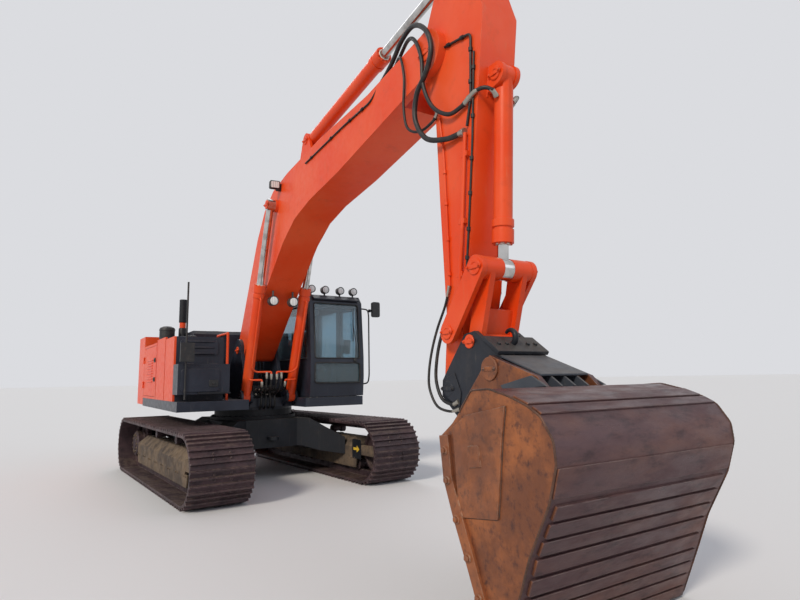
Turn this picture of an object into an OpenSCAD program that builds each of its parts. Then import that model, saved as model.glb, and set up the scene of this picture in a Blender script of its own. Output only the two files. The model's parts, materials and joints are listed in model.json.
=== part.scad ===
// Crawler excavator with a bent boom, a straight arm, a pin coupler and a digging bucket.
// Millimetres. The origin is on the ground at the swing axis, +Z is up, the front looks along -Y
// and +X is the cab's side. Side profiles are drawn as [forward, up] and set out by across().

/* [Tracks] */
// Distance between the idler's and the sprocket's centres
track_l = 4010; // [3600:10:4400]
// Distance between the middles of the two tracks
gauge = 2590; // [2300:10:2800]
// Width of a track shoe
shoe_w = 800; // [600:50:900]
// Number of shoes on a track
shoe_n = 48; // [44:1:52]
// Radius of the link pins' path round an idler
link_r = 370; // [350:5:390]
// Height of the grouser tips above the link pins
grouser_h = 95; // [80:5:110]
// Turn of the tracks against the upper structure, as parked
track_turn = 3.2; // [0:0.1:10]
// Radius of a lower track roller
roller_r = 80; // [70:2:84]
// Number of lower rollers on a side
roller_n = 8; // [6:1:9]

/* [Upper structure] */
// Width over the housings
upper_w = 2960; // [2800:20:3100]
// Height of the deck's underside
deck_z = 1140; // [1130:5:1160]
// Height of the deck's top
deck_top = 1285; // [1260:5:1300]
// Swing radius of the counterweight
tail_r = 3140; // [3000:20:3300]
// Height of the counterweight's top
cw_top = 2440; // [2300:10:2500]
// Height of the housings' shoulders
shoulder_z = 2240; // [2150:10:2300]
// Height of the hood
hood_z = 2470; // [2400:10:2550]
// Thickness of a door or cover
door_t = 40; // [25:1:60]
// Gap round a door or cover
door_gap = 6; // [5:1:10]

/* [Cab] */
// Cab's inner side, from the swing axis
cab_x0 = 530; // [520:5:600]
// Cab width
cab_w = 965; // [900:5:965]
// Cab's front, from the swing axis
cab_front = 1220; // [1150:10:1300]
// Cab length
cab_l = 1840; // [1700:10:1860]
// Height of the cab's roof
cab_top = 2975; // [2900:5:3050]
// Thickness of the cab's walls
cab_t = 50; // [35:1:60]
// Thickness of the glass
glass_t = 8; // [5:1:10]

/* [Boom and arm] */
// Boom width
boom_w = 540; // [480:10:560]
// Arm width
arm_w = 380; // [340:10:400]
// Boom foot pin, forward of the swing axis
foot_y = 100; // [80:5:120]
// Boom foot pin's height
foot_z = 2080; // [2060:5:2100]
// Reach of the boom, foot pin to tip pin
boom_run = 5600; // [5500:10:5700]
// Rise of the boom, foot pin to tip pin
boom_rise = 2450; // [2400:10:2500]
// Length of the arm between its pins
arm_l = 3065; // [2950:5:3150]
// Lean of the arm from the plumb line
arm_lean = 3.2; // [2.5:0.1:4]

/* [Cylinders] */
// Barrel diameter of a boom cylinder
boom_cyl_d = 160; // [140:5:166]
// Barrel diameter of the arm cylinder
arm_cyl_d = 175; // [150:5:190]
// Barrel diameter of the bucket cylinder
bucket_cyl_d = 155; // [130:5:165]
// Middle of a boom cylinder, from the middle of the machine
boom_cyl_x = 370; // [365:1:380]
// Running clearance round a rod
rod_gap = 0.2; // [0.1:0.05:0.5]
// Running clearance round a pin
pin_gap = 0.06; // [0.02:0.01:0.1]
// Gap between faces that swing past each other
side_gap = 0.4; // [0.3:0.1:1]

/* [Bucket] */
// Bucket width
bucket_w = 1700; // [1400:20:1800]
// Thickness of the bucket's wall
bucket_t = 28; // [16:1:40]
// Height of the lip above the ground
lip_z = 8; // [4:1:20]

/* [Hidden] */
$fn = 48;

// Paint and metal shown in the views
orange = "#d8622a";
navy = "#20242c";
black = "#17181b";
rust = "#6b5148";
dusty = "#8a7862";
steel = "#b9b4ac";
glass = "#8fa9b8";

// Places in the side view, as [forward, up]
foot = [foot_y, foot_z];
tip = foot + [boom_run, boom_rise];
arm_end = tip + arm_l * [sin(arm_lean), -cos(arm_lean)];
boom_cyl_foot = [740, 1310];
boom_rod_pin = foot + [1680, 2080];
arm_cyl_base = foot + [2350, 2900];
lever_pin = tip + [350, 890];
bucket_cyl_base = tip + [730, -510];
rocker_pin = arm_end + [70, 460];
link_top = rocker_pin + [375, 480];
link_pin = arm_end + [290, 370];

// Sets a profile drawn as [forward, up] between two places across the machine
module across(x0, x1)
    translate([x0, 0, 0]) rotate([90, 0, 90]) linear_extrude(x1 - x0) mirror([1, 0]) children();

// The same on both sides of the middle
module both() {
    children();
    mirror([1, 0, 0]) children();
}

// Round bar across the machine
module cross_pin(p, d, x0, x1) across(x0, x1) translate(p) circle(d = d);

// Turns a piece built upwards from the origin to lie from one place of the side view to another
module along(p, q, x = 0)
    translate([x, -p[0], p[1]]) rotate([90 - atan2(q[1] - p[1], q[0] - p[0]), 0, 0]) children();

// Round bar between two points in space
module bar(a, b, d) {
    v = b - a;
    translate(a) rotate([0, acos(v[2] / norm(v)), atan2(v[1], v[0])]) cylinder(d = d, h = norm(v));
}

// Bar bent through a list of points, with round corners
module tube_run(points, d) {
    for (i = [0 : len(points) - 2]) bar(points[i], points[i + 1], d);
    for (i = [1 : len(points) - 2]) translate(points[i]) sphere(d = d + 1);
}

// Box from its lowest to its highest corner
module block(low, high) translate(low) cube(high - low);

// Disc and bar joined by their outer lines, for links and ears
module ear(p, r, q, s) {
    v = q - p;
    a = atan2(v[1], v[0]) + acos((r - s) / norm(v));
    b = atan2(v[1], v[0]) - acos((r - s) / norm(v));
    translate(p) circle(r = r);
    translate(q) circle(r = s);
    polygon([p + r * [cos(a), sin(a)], q + s * [cos(a), sin(a)], q + s * [cos(b), sin(b)],
        p + r * [cos(b), sin(b)]]);
}

// One leaf of a door hinge on the machine's left, with its knuckle; way is 1 on the door, -1 on the post
knuckle_r = 12;
knuckle_l = 60;
leaf_t = 8;
door_leaf = 60;
post_leaf = 42;

module hinge_leaf(x, y, z, way) {
    leaf = way > 0 ? door_leaf : post_leaf;
    translate([x + knuckle_r + 2, y, z]) cylinder(r = knuckle_r, h = knuckle_l);
    translate([x - 1, way > 0 ? y - leaf : y, z]) cube([leaf_t + 1, leaf, knuckle_l]);
    translate([x + 1, way > 0 ? y - knuckle_r : y, z]) cube([knuckle_r + 2, knuckle_r, knuckle_l]);
}

// The two or three hinges of one door, as the door's leaves or the post's, which lie above them
module hinges(x, y, heights, way)
    for (z = heights) hinge_leaf(x, y, z + (way > 0 ? 0 : knuckle_l + side_gap), way);

module on_tracks() rotate([0, 0, track_turn]) children();

// Tracks

track_z = link_r + grouser_h;
loop_l = 2 * track_l + 2 * PI * link_r;
pitch = loop_l / shoe_n;
shoe_under = 36;
rail_under = 50;
rail_x = 60;
rail_t = 50;
half_track = track_l / 2;

// Place and outward angle at a distance along the link pins' loop, from the top of the sprocket
function loop_at(s) =
    let(arc = PI * link_r, t = s % loop_l)
    t < track_l ? [[t - half_track, track_z + link_r], 90]
    : t < track_l + arc ? let(a = 90 - (t - track_l) / link_r * 180 / PI)
        [[half_track, track_z] + link_r * [cos(a), sin(a)], a]
    : t < 2 * track_l + arc ? [[half_track - (t - track_l - arc), track_z - link_r], -90]
    : let(a = -90 - (t - 2 * track_l - arc) / link_r * 180 / PI)
        [[-half_track, track_z] + link_r * [cos(a), sin(a)], a];

// Shoe profile as [along the pitch, above the link pins], three grousers
shoe_top = 62;
bar_foot = 17;
bar_tip = 9;
shoe_profile = [for (c = [-1, 0, 1] * (pitch / 2 - bar_foot - 4), k = [[-bar_foot, shoe_top],
    [-bar_tip, grouser_h], [bar_tip, grouser_h], [bar_foot, shoe_top]]) [c + k[0], k[1]]];

function shoe_points(s) =
    let(place = loop_at(s), n = [cos(place[1]), sin(place[1])], t = [n[1], -n[0]])
    [for (k = shoe_profile) place[0] + k[0] * t + k[1] * n];

module stadium(r) {
    for (s = [-1, 1]) translate([s * half_track, track_z]) circle(r = r, $fn = 72);
    translate([-half_track, track_z - r]) square([track_l, 2 * r]);
}

// One closed loop of shoes on its two rows of links
module track() {
    across(-shoe_w / 2, shoe_w / 2) difference() {
        polygon([for (i = [0 : shoe_n - 1], p = shoe_points((i + 0.5) * pitch)) p]);
        stadium(link_r + shoe_under);
    }
    both() across(rail_x, rail_x + rail_t) difference() {
        stadium(link_r + shoe_under);
        stadium(link_r - rail_under);
    }
}

module track_left() color(rust) on_tracks() translate([gauge / 2, 0, 0]) track();
module track_right() color(rust) on_tracks() translate([-gauge / 2, 0, 0]) track();

// Revolved piece about a line across the machine; its profile is drawn as [radius, across]
module wheel(p, profile) translate([0, -p[0], p[1]]) rotate([0, 90, 0]) rotate_extrude() polygon(profile);

seat_gap = 0.3;
wheel_r = link_r - rail_under - seat_gap;
hub_x = 150;

module idler() wheel([half_track, track_z], [[0, -hub_x], [95, -hub_x], [110, -70], [wheel_r - 45, -60],
    [wheel_r - 30, -110], [wheel_r, -110], [wheel_r, -52], [wheel_r + 24, -44], [wheel_r + 24, 44],
    [wheel_r, 52], [wheel_r, 110], [wheel_r - 30, 110], [wheel_r - 45, 60], [110, 70], [95, hub_x],
    [0, hub_x]]);

module idlers() color(rust) on_tracks() both() translate([gauge / 2, 0, 0]) idler();

teeth = 21;
tooth_h = 34;
sprocket_t = 76;

module sprocket() {
    step = 360 / teeth;
    across(-sprocket_t / 2, sprocket_t / 2) translate([-half_track, track_z]) difference() {
        polygon([for (i = [0 : teeth - 1], k = [[-0.3, 0], [-0.12, 1], [0.12, 1], [0.3, 0]])
            (wheel_r + k[1] * tooth_h) * [cos((i + k[0]) * step), sin((i + k[0]) * step)]]);
        circle(r = 205 + side_gap);
    }
}

module sprockets() color(rust) on_tracks() both() translate([gauge / 2, 0, 0]) sprocket();

// Track frame: a closed beam with a sloped top, skirts beside the rollers and a fork for the idler
beam_w = 300;
beam_under = 345;
beam_top = 640;
skirt_t = 22;
skirt_x = 185;
roller_z = track_z - link_r + rail_under + roller_r + seat_gap;
roller_span = 2 * (half_track - link_r - 120);
carrier_r = 62;
carrier_z = track_z + link_r - rail_under - carrier_r - seat_gap;
carrier_y = [-620, 640];

beam_y0 = -half_track + wheel_r + tooth_h + 25;

module beam_side(top, low) polygon([[beam_y0, low], [half_track - 520, low],
    [half_track - 480, low + 60], [half_track - 480, top - 110], [half_track - 560, top],
    [beam_y0 + 190, top], [beam_y0, top - 130]]);

module track_frame() {
    // Beam with its sides leaning in to a narrower top
    intersection() {
        across(-skirt_x - skirt_t, skirt_x + skirt_t) beam_side(beam_top, beam_under);
        rotate([90, 0, 0]) linear_extrude(2 * track_l, center = true) polygon([[-skirt_x - skirt_t, 0],
            [skirt_x + skirt_t, 0], [skirt_x + skirt_t, beam_top - 140], [90, beam_top],
            [-90, beam_top], [-skirt_x - skirt_t, beam_top - 140]]);
    }
    // Skirts that carry the rollers' shafts
    both() across(skirt_x, skirt_x + skirt_t) polygon([[-roller_span / 2 - 90, beam_under],
        [-roller_span / 2 - 60, roller_z - 45], [roller_span / 2 + 60, roller_z - 45],
        [roller_span / 2 + 90, beam_under]]);
    // Fork that holds the idler's axle
    both() across(hub_x + seat_gap, skirt_x + skirt_t) polygon([[half_track - 520, track_z - 75],
        [half_track + 90, track_z - 75], [half_track + 120, track_z], [half_track + 90, track_z + 75],
        [half_track - 520, track_z + 75]]);
    // Bearing for the travel motor
    across(-skirt_x - skirt_t, -skirt_x + 10) difference() {
        union() {
            translate([-half_track, track_z]) circle(r = 265);
            polygon([[-half_track, track_z - 200], [beam_y0 + 20, beam_under],
                [beam_y0 + 20, beam_top - 140], [-half_track, track_z + 200]]);
        }
        translate([-half_track, track_z]) circle(r = 190);
    }
    // Posts of the carrier rollers
    for (y = carrier_y) across(-90, 90) translate([y - 45, beam_top - 1]) square([90, carrier_z - carrier_r
        - beam_top - 12]);
}

module track_frames() color(dusty) on_tracks() both() translate([gauge / 2, 0, 0]) track_frame();

// Travel motor with its final drive, which fills the sprocket's bore
module travel_motors() color(rust) on_tracks() both() translate([gauge / 2, 0, 0])
    wheel([-half_track, track_z], [[0, -330], [115, -330], [115, -235], [189.5, -235], [189.5, -150],
        [250, -150], [250, -100], [230, -90], [230, -44], [205, -44], [205, 40], [240, 40], [240, 70],
        [225, 80], [225, 165], [205, 185], [120, 190], [110, 205], [0, 205]]);

module roller() wheel([0, 0], [[0, -skirt_x + seat_gap], [34, -skirt_x + seat_gap], [34, -140],
    [roller_r + 14, -138], [roller_r + 14, -118], [roller_r, -114], [roller_r, -40],
    [roller_r - 18, -30], [roller_r - 18, 30], [roller_r, 40], [roller_r, 114],
    [roller_r + 14, 118], [roller_r + 14, 138], [34, 140], [34, skirt_x - seat_gap],
    [0, skirt_x - seat_gap]]);

module carrier() wheel([0, 0], [[0, -125], [carrier_r, -125], [carrier_r, -50], [carrier_r - 14, -42],
    [carrier_r - 14, 42], [carrier_r, 50], [carrier_r, 125], [0, 125]]);

module rollers() color(rust) on_tracks() both() translate([gauge / 2, 0, 0]) {
    for (i = [0 : roller_n - 1])
        translate([0, -roller_span / 2 + i * roller_span / (roller_n - 1), roller_z]) roller();
    for (y = carrier_y) translate([0, -y, carrier_z]) carrier();
}

// X-shaped car body: its plan cut to its front view
ring_z = 950;
ring_r = 640;

tow_eye_y = 900;
tow_eye_z = 635;
tow_eye_d = 62;
tow_eye_t = 50;

module car_body() color(navy) on_tracks() {
    beam_face = gauge / 2 - skirt_x - skirt_t;
    for (side = [-1, 1]) translate([0, 0, tow_eye_z]) linear_extrude(tow_eye_t) difference() {
        ear([0, side * tow_eye_y], 75, [0, side * (tow_eye_y - 110)], 75);
        translate([0, side * tow_eye_y]) circle(d = tow_eye_d);
    }
    intersection() {
        linear_extrude(ring_z) both() polygon([[0, -820], [430, -820], [beam_face, -1250],
            [beam_face, -640], [640, -360], [640, 360], [beam_face, 640], [beam_face, 1250],
            [430, 820], [0, 820]]);
        rotate([90, 0, 0]) linear_extrude(2600, center = true) both() polygon([[0, 510], [500, 510],
            [760, 420], [beam_face, 360], [beam_face, 630], [820, 800], [600, ring_z],
            [0, ring_z]]);
    }
}

// Slewing ring between the car body and the upper structure
module swing_ring() color(black) on_tracks() translate([0, 0, ring_z]) {
    difference() {
        union() {
            cylinder(r = ring_r + 60, h = 45, $fn = 96);
            cylinder(r = ring_r, h = deck_z - 40 - side_gap - ring_z, $fn = 96);
        }
        translate([0, 0, -1]) cylinder(r = ring_r - 110, h = 400, $fn = 96);
    }
}

// Upper structure

main_x = 455;
cab_x1 = cab_x0 + cab_w;
cab_rear = cab_front - cab_l;
bay_y0 = 60 - cab_rear;
bay_y1 = 2060;
bay_x = 820;
cab_floor = deck_top + 8;
tower_x0 = boom_w / 2 + side_gap;
tower_t = 55;
foot_pin_d = 100;
deck_front = 640;
lug_t = 38;
eye_w = 110;
lug_r = 105;
cyl_pin_d = 85;
half_w = upper_w / 2;

module upper_frame() color(navy) {
    // Round base plate over the slewing ring, and the deck in three bays
    translate([0, 0, deck_z - 40]) cylinder(r = ring_r, h = 45, $fn = 96);
    block([-main_x, -deck_front, deck_z], [main_x, frame_tail, deck_top]);
    block([-half_w, -1200, deck_z], [-main_x + 1, 2050, deck_top]);
    block([main_x - 1, -cab_front + 20, deck_z], [half_w, 2050, deck_top]);
    // Mounts under the cab
    for (x = [cab_x0 + 120, cab_x1 - 120], y = [-cab_front + 180, -cab_rear - 180])
        translate([x, y, deck_top - 1]) cylinder(d = 130, h = cab_floor - deck_top + 1 - seat_gap);
    // Towers that carry the boom foot, bored for its pin
    both() across(tower_x0, tower_x0 + tower_t) difference() {
        union() {
            translate(foot) circle(r = 190);
            polygon([[20 - bay_y0, deck_top - 1], [600, deck_top - 1], [560, deck_top + 120],
                foot + [185, -40], foot + [-40, 186], [60 - bay_y0, deck_top + 250]]);
        }
        translate(foot) circle(d = foot_pin_d);
    }
    // Lugs for the boom cylinders
    both() for (x = [boom_cyl_x - eye_w / 2 - side_gap - lug_t, boom_cyl_x + eye_w / 2 + side_gap])
        across(x, x + lug_t) {
            translate(boom_cyl_foot) circle(r = lug_r);
            polygon([[300, deck_z + 1], [deck_front - 10, deck_z + 1], boom_cyl_foot + [100, -30],
                boom_cyl_foot + [-60, 86], [300, deck_top + 40]]);
        }
    both() cross_pin(boom_cyl_foot, cyl_pin_d, boom_cyl_x - eye_w / 2 - 1, boom_cyl_x + eye_w / 2 + 1);
}

// Counterweight: its plan cut to its side view
frame_tail = 2250;

cw_y0 = bay_y1 + 10;

module counterweight() color(orange) {
    hood_hinge_posts();
    difference() {
        intersection() {
            translate([0, 0, deck_z + 20]) linear_extrude(cw_top - deck_z - 20) intersection() {
                circle(r = tail_r, $fn = 120);
                translate([-half_w, cw_y0]) square([upper_w, tail_r]);
            }
            across(-half_w, half_w) polygon([[-cw_y0, deck_z + 20], [-tail_r + 330, deck_z + 20],
                [-tail_r + 40, deck_z + 260], [-tail_r, deck_z + 460], [-tail_r, cw_top - 260],
                [-tail_r + 140, cw_top - 60], [-tail_r + 300, cw_top], [-cw_y0, cw_top]]);
        }
        // Seat on the tail of the frame
        block([-main_x - seat_gap, 0, 0],
            [main_x + seat_gap, frame_tail + seat_gap, deck_top + seat_gap]);
    }
}

// Housings behind the cab and the tanks, open at the top and the sides under their lids
wall = 40;

module engine_housing() color(navy) {
    both() hinges(half_w, bay_hinge_y, bay_hinge_z, -1);
    difference() {
    block([-half_w, bay_y0, deck_top], [half_w, bay_y1, shoulder_z]);
    // Engine bay under the hood
    block([-bay_x, bay_y0 + wall, deck_top + wall], [bay_x, bay_y1 - wall, shoulder_z + 1]);
    // Pump bay and cooler bay behind the side doors
    both() block([bay_x + wall, bay_y0 + wall, deck_top + wall], [half_w + 1, bay_y1 - wall, shoulder_z
        - wall]);
    }
}

module engine() color(steel) block([-620, bay_y0 + 300, deck_top + wall], [620, bay_y1 - 300, shoulder_z - 60]);

hood_x = bay_x + 60;
hood_hinge = [-bay_y1, hood_z + 6];
hood_hinge_x = [-560, 0, 560];

// The fixed halves of the hood's hinges stand on the counterweight
module hood_hinge_posts() for (x = hood_hinge_x) across(x - knuckle_l / 2, x + knuckle_l / 2) {
    translate(hood_hinge) circle(r = knuckle_r);
    translate([hood_hinge[0] - 24, cw_top - 1]) square([leaf_t, hood_hinge[1] - cw_top + 1]);
    translate([hood_hinge[0] - 24, hood_hinge[1] - leaf_t]) square([24, leaf_t]);
}

module hood_hinge_leaves() for (x = hood_hinge_x)
    across(x + knuckle_l / 2 + side_gap, x + 1.5 * knuckle_l + side_gap) {
        translate(hood_hinge) circle(r = knuckle_r);
        translate([hood_hinge[0], hood_z - 1]) square([120, leaf_t + 1]);
    }

module hood() color(navy) {
    hood_hinge_leaves();
    difference() {
        across(-hood_x, hood_x) polygon([[-bay_y1 + 4, shoulder_z + side_gap],
            [-bay_y0, shoulder_z + side_gap], [-bay_y0, hood_z - 60], [-bay_y0 - 60, hood_z],
            [-bay_y1 + 60, hood_z], [-bay_y1 + 4, hood_z - 60]]);
        across(-hood_x + door_t, hood_x - door_t) polygon([[-bay_y1 + 4 + door_t, shoulder_z],
            [-bay_y0 - door_t, shoulder_z], [-bay_y0 - door_t, hood_z - 80],
            [-bay_y0 - 80, hood_z - door_t], [-bay_y1 + 80, hood_z - door_t],
            [-bay_y1 + 4 + door_t, hood_z - 80]]);
    }
}

bay_hinge_y = bay_y1 - wall - door_gap / 2;
bay_hinge_z = [deck_top + 180, shoulder_z - 320];

module side_door() {
    block([half_w - door_t, bay_y0 + wall + door_gap, deck_top + wall + door_gap],
        [half_w, bay_y1 - wall - door_gap, shoulder_z - wall - door_gap]);
    hinges(half_w, bay_hinge_y, bay_hinge_z, 1);
}

module cooler_door() color(navy) side_door();
module pump_door() color(navy) mirror([1, 0, 0]) side_door();

// Fuel and hydraulic tanks on the right, in front of the pump bay
tank_x = -half_w;
tank_in = -750;
tank_front = -850;
box_front = -1200;
box_top = 1790;

lid_t = 30;
lid_knuckle_r = 10;
lid_hinge = [16 - tank_front, box_top + lid_t + lid_knuckle_r + 1];
lid_hinge_x = [tank_x + 160, tank_in - 220];

module tanks() color(navy) {
    // Fixed halves of the tool box lid's hinges
    for (x = lid_hinge_x) across(x, x + knuckle_l) {
        translate(lid_hinge) circle(r = lid_knuckle_r);
        translate([-tank_front - 1, lid_hinge[1] - lid_knuckle_r]) square([17, lid_knuckle_r]);
    }
    block([tank_x, tank_front, deck_top], [tank_in, -150, shoulder_z]);
    block([tank_x, -110, deck_top], [tank_in, bay_y0 - 40, shoulder_z + 40]);
}

module tool_box() color(navy) difference() {
    block([tank_x, box_front, deck_top + 100], [tank_in, tank_front - side_gap, box_top]);
    block([tank_x + wall, box_front + wall, deck_top + 100 + wall], [tank_in - wall, tank_front - wall,
        box_top + 1]);
}

module tool_box_lid() color(navy) {
    block([tank_x, box_front, box_top + side_gap], [tank_in, tank_front - 10, box_top + lid_t]);
    for (x = lid_hinge_x) across(x + knuckle_l + side_gap, x + 2 * knuckle_l + side_gap) {
        translate(lid_hinge) circle(r = lid_knuckle_r);
        translate([lid_hinge[0] - 4, box_top + lid_t - 1]) square([40, lid_knuckle_r]);
    }
}

// Rail on the deck beside the tank
module handrails() color(orange) {
    rail_in = tank_in + 40;
    tube_run([[rail_in, tank_front - 40, deck_top + seat_gap], [rail_in, tank_front - 40, shoulder_z + 60],
        [rail_in, -300, shoulder_z + 60], [rail_in, -300, deck_top + seat_gap]], 40);
}

// Mirror and marker pole in front of the tool box
module mirrors() color(black) {
    pole_x = tank_x + 95;
    pole_y = box_front - 32;
    bar([pole_x, pole_y, deck_top + 30], [pole_x, pole_y, 3000], 26);
    block([pole_x - 15, pole_y, deck_top + 130], [pole_x + 15, box_front - seat_gap, deck_top + 170]);
    block([pole_x - 80, pole_y - 30, 1850], [pole_x + 110, pole_y + 20, 2120]);
}

module exhaust() color(orange) {
    translate([-960, 1290, shoulder_z]) cylinder(d = 110, h = 820);
}

module air_cleaner() color(black) {
    translate([-1240, 1200, shoulder_z]) cylinder(d = 260, h = 260);
}

// Cab

// Side view of the cab, drawn in by an inset
module cab_side(i) polygon([[cab_rear + i, cab_floor + i], [cab_front - 30 - i, cab_floor + i],
    [cab_front - i, cab_floor + 320], [cab_front - i, cab_floor + 640], [cab_front - 70 - i, cab_top - 120],
    [cab_front - 170 - i, cab_top - i], [cab_rear + 90 + i, cab_top - i],
    [cab_rear + i, cab_top - 110 - i]]);

door_y0 = 330;
door_y1 = 1130;
door_z0 = cab_floor + 60;
door_z1 = cab_top - 110;

module door_shape(i) polygon([[door_y0 + i, door_z0 + i], [door_y1 - i, door_z0 + i],
    [door_y1 - i, door_z0 + 620], [door_y1 - 60 - i, door_z1 - i], [door_y0 + i, door_z1 - i]]);

front_glass_z = [cab_floor + 620, cab_top - 150];
low_glass_z = [cab_floor + 220, cab_floor + 545];
post = 75;

// Windows in the cab's sides, drawn in by an inset
module inner_window(i) polygon([[cab_rear + 130 + i, cab_floor + 620 + i],
    [cab_front - 140 - i, cab_floor + 620 + i], [cab_front - 190 - i, cab_top - 170 - i],
    [cab_rear + 130 + i, cab_top - 170 - i]]);

module outer_window(i) polygon([[cab_rear + 110 + i, cab_floor + 620 + i],
    [door_y0 - 80 - i, cab_floor + 620 + i], [door_y0 - 80 - i, cab_top - 170 - i],
    [cab_rear + 110 + i, cab_top - 170 - i]]);

module cab_shell() color(navy) {
    hinges(cab_x1, cab_hinge_y, cab_hinge_z, -1);
    difference() {
    across(cab_x0, cab_x1) cab_side(0);
    across(cab_x0 + cab_t, cab_x1 - cab_t) cab_side(cab_t);
    // Windows in the front, the two sides and the back, then the doorway
    for (z = [front_glass_z, low_glass_z])
        block([cab_x0 + post, -cab_front - 50, z[0]], [cab_x1 - post, -cab_front + 260, z[1]]);
    across(cab_x0 - 1, cab_x0 + cab_t + 1) inner_window(0);
    block([cab_x0 + 110, -cab_rear - 100, cab_floor + 700], [cab_x1 - 110, -cab_rear + 50, cab_top - 190]);
    across(cab_x1 - cab_t - 1, cab_x1 + 1) door_shape(0);
    across(cab_x1 - cab_t - 1, cab_x1 + 1) outer_window(0);
    }
}

module cab_glass() color(glass) {
    g = seat_gap;
    for (z = [front_glass_z, low_glass_z]) intersection() {
        block([cab_x0 + post + g, -cab_front - 50, z[0] + g], [cab_x1 - post - g, -cab_front + 260, z[1] - g]);
        across(cab_x0, cab_x1) difference() {
            cab_side(18);
            cab_side(18 + glass_t);
        }
    }
    across(cab_x0 + 18, cab_x0 + 18 + glass_t) inner_window(g);
    block([cab_x0 + 110 + g, -cab_rear - 26, cab_floor + 700 + g],
        [cab_x1 - 110 - g, -cab_rear - 18, cab_top - 190 - g]);
    across(cab_x1 - 18 - glass_t, cab_x1 - 18) outer_window(g);
}

pane_y0 = door_y0 + 90;
pane_z0 = door_z0 + 560;

module door_pane(i) polygon([[pane_y0 + i, pane_z0 + i], [door_y1 - 85 - i, pane_z0 + i],
    [door_y1 - 140 - i, door_z1 - 95 - i], [pane_y0 + i, door_z1 - 95 - i]]);

cab_hinge_z = [door_z0 + 150, door_z1 - 300];
cab_hinge_y = -door_y0 - door_gap / 2;

module cab_door() color(navy) {
    across(cab_x1 - cab_t, cab_x1) difference() {
        door_shape(door_gap);
        door_pane(0);
    }
    hinges(cab_x1, cab_hinge_y, cab_hinge_z, 1);
}

module door_glass() color(glass) across(cab_x1 - 18 - glass_t, cab_x1 - 18) door_pane(seat_gap);

seat_x = (cab_x0 + cab_x1) / 2;

module seat() color(black) translate([seat_x, 0, 0]) {
    block([-160, -100, cab_floor + cab_t], [160, 260, cab_floor + 360]);
    block([-250, -250, cab_floor + 360], [250, 270, cab_floor + 480]);
    across(-240, 240) polygon([[-170, cab_floor + 480], [-60, cab_floor + 480], [-180, cab_floor + 1180],
        [-280, cab_floor + 1180]]);
}

module console() color(black) translate([seat_x, 0, 0]) both()
    block([280, -330, cab_floor + cab_t], [390, 260, cab_floor + 560]);

module cab_lights() color(steel) for (x = [90, 340, cab_w - 340, cab_w - 90])
    translate([cab_x0 + x, -cab_front + 230, cab_top]) {
        cylinder(d = 30, h = 60);
        translate([0, 30, 100]) rotate([90, 0, 0]) cylinder(d = 130, h = 80);
    }

// Valve block and hoses at the boom foot
module hydraulics() color(black)
    block([-200, -560, deck_top], [200, -250, deck_top + 200]);

// Boom

tip_fork_x = arm_w / 2 + side_gap;
boom_half = boom_w / 2;
boom_boss_x = boom_cyl_x - eye_w / 2 - side_gap;
fork_r = 565;

// Side view of the boom
module boom_side() {
    translate(foot) circle(r = 185);
    translate(tip) circle(r = 215);
    polygon([foot + [-170, 75], foot + [370, 1020], foot + [780, 1740], foot + [1120, 2140],
        foot + [1500, 2360], foot + [2100, 2460], foot + [3200, 2540], foot + [4500, 2550],
        tip + [-60, 206], tip + [40, -211], tip + [-560, -310], tip + [-1850, -530], foot + [2900, 1820],
        foot + [2400, 1700], foot + [1960, 1460], foot + [1360, 970], foot + [150, -110]]);
}

module boom() color(orange) {
    difference() {
        across(-boom_half, boom_half) boom_side();
        // Slot between the cheeks for the arm
        across(-tip_fork_x, tip_fork_x) {
            translate(tip) circle(r = fork_r);
            translate(tip) square([600, 1200], center = true);
        }
        cross_pin(tip, 100 + 2 * pin_gap, -boom_half - 1, boom_half + 1);
    }
    // Foot pin's ends, in the towers
    cross_pin(foot, foot_pin_d - 2 * pin_gap, -tower_x0 - tower_t, tower_x0 + tower_t);
    // Bosses for the boom cylinders' rods
    both() cross_pin(boom_rod_pin, 190, boom_half - 1, boom_boss_x);
    // Ears and pin of the arm cylinder
    both() across(eye_w / 2 + side_gap, eye_w / 2 + side_gap + lug_t)
        ear(arm_cyl_base, lug_r, foot + [2350, 2440], 280);
    cross_pin(arm_cyl_base, cyl_pin_d, -eye_w / 2 - 1, eye_w / 2 + 1);
}

// Pipes along the boom's top, held by clamps
pipe_d = 36;
pipe_lift = 46;
pipe_line = [foot + [1560, 2370], foot + [2100, 2460], foot + [3200, 2540], foot + [4480, 2550]];

module boom_pipes() color(orange) both() {
    for (x = [120, 190])
        tube_run([for (p = pipe_line) [x, -p[0], p[1] + pipe_lift]], pipe_d);
    for (i = [0 : len(pipe_line) - 2], t = i == 0 ? [0.6] : [0.2, 0.75]) {
        a = pipe_line[i] + t * (pipe_line[i + 1] - pipe_line[i]);
        v = (pipe_line[i + 1] - pipe_line[i]) / norm(pipe_line[i + 1] - pipe_line[i]);
        n = [-v[1], v[0]];
        across(95, 215) polygon([a + seat_gap * n, a + 60 * v + seat_gap * n, a + 60 * v + pipe_lift * n,
            a + pipe_lift * n]);
    }
}

// Lamps on stalks under the boom
lamp_at = foot + [1250, 700];
lamp_stalk = 158;

module boom_lamps() color(black) both() translate([160, -lamp_at[0], lamp_at[1]]) {
    rotate([90, 0, 0]) translate([0, 0, -45]) cylinder(d = 150, h = 90);
    cylinder(d = 30, h = lamp_stalk);
}

// Cylinders; each is built upwards from its base pin

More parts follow.
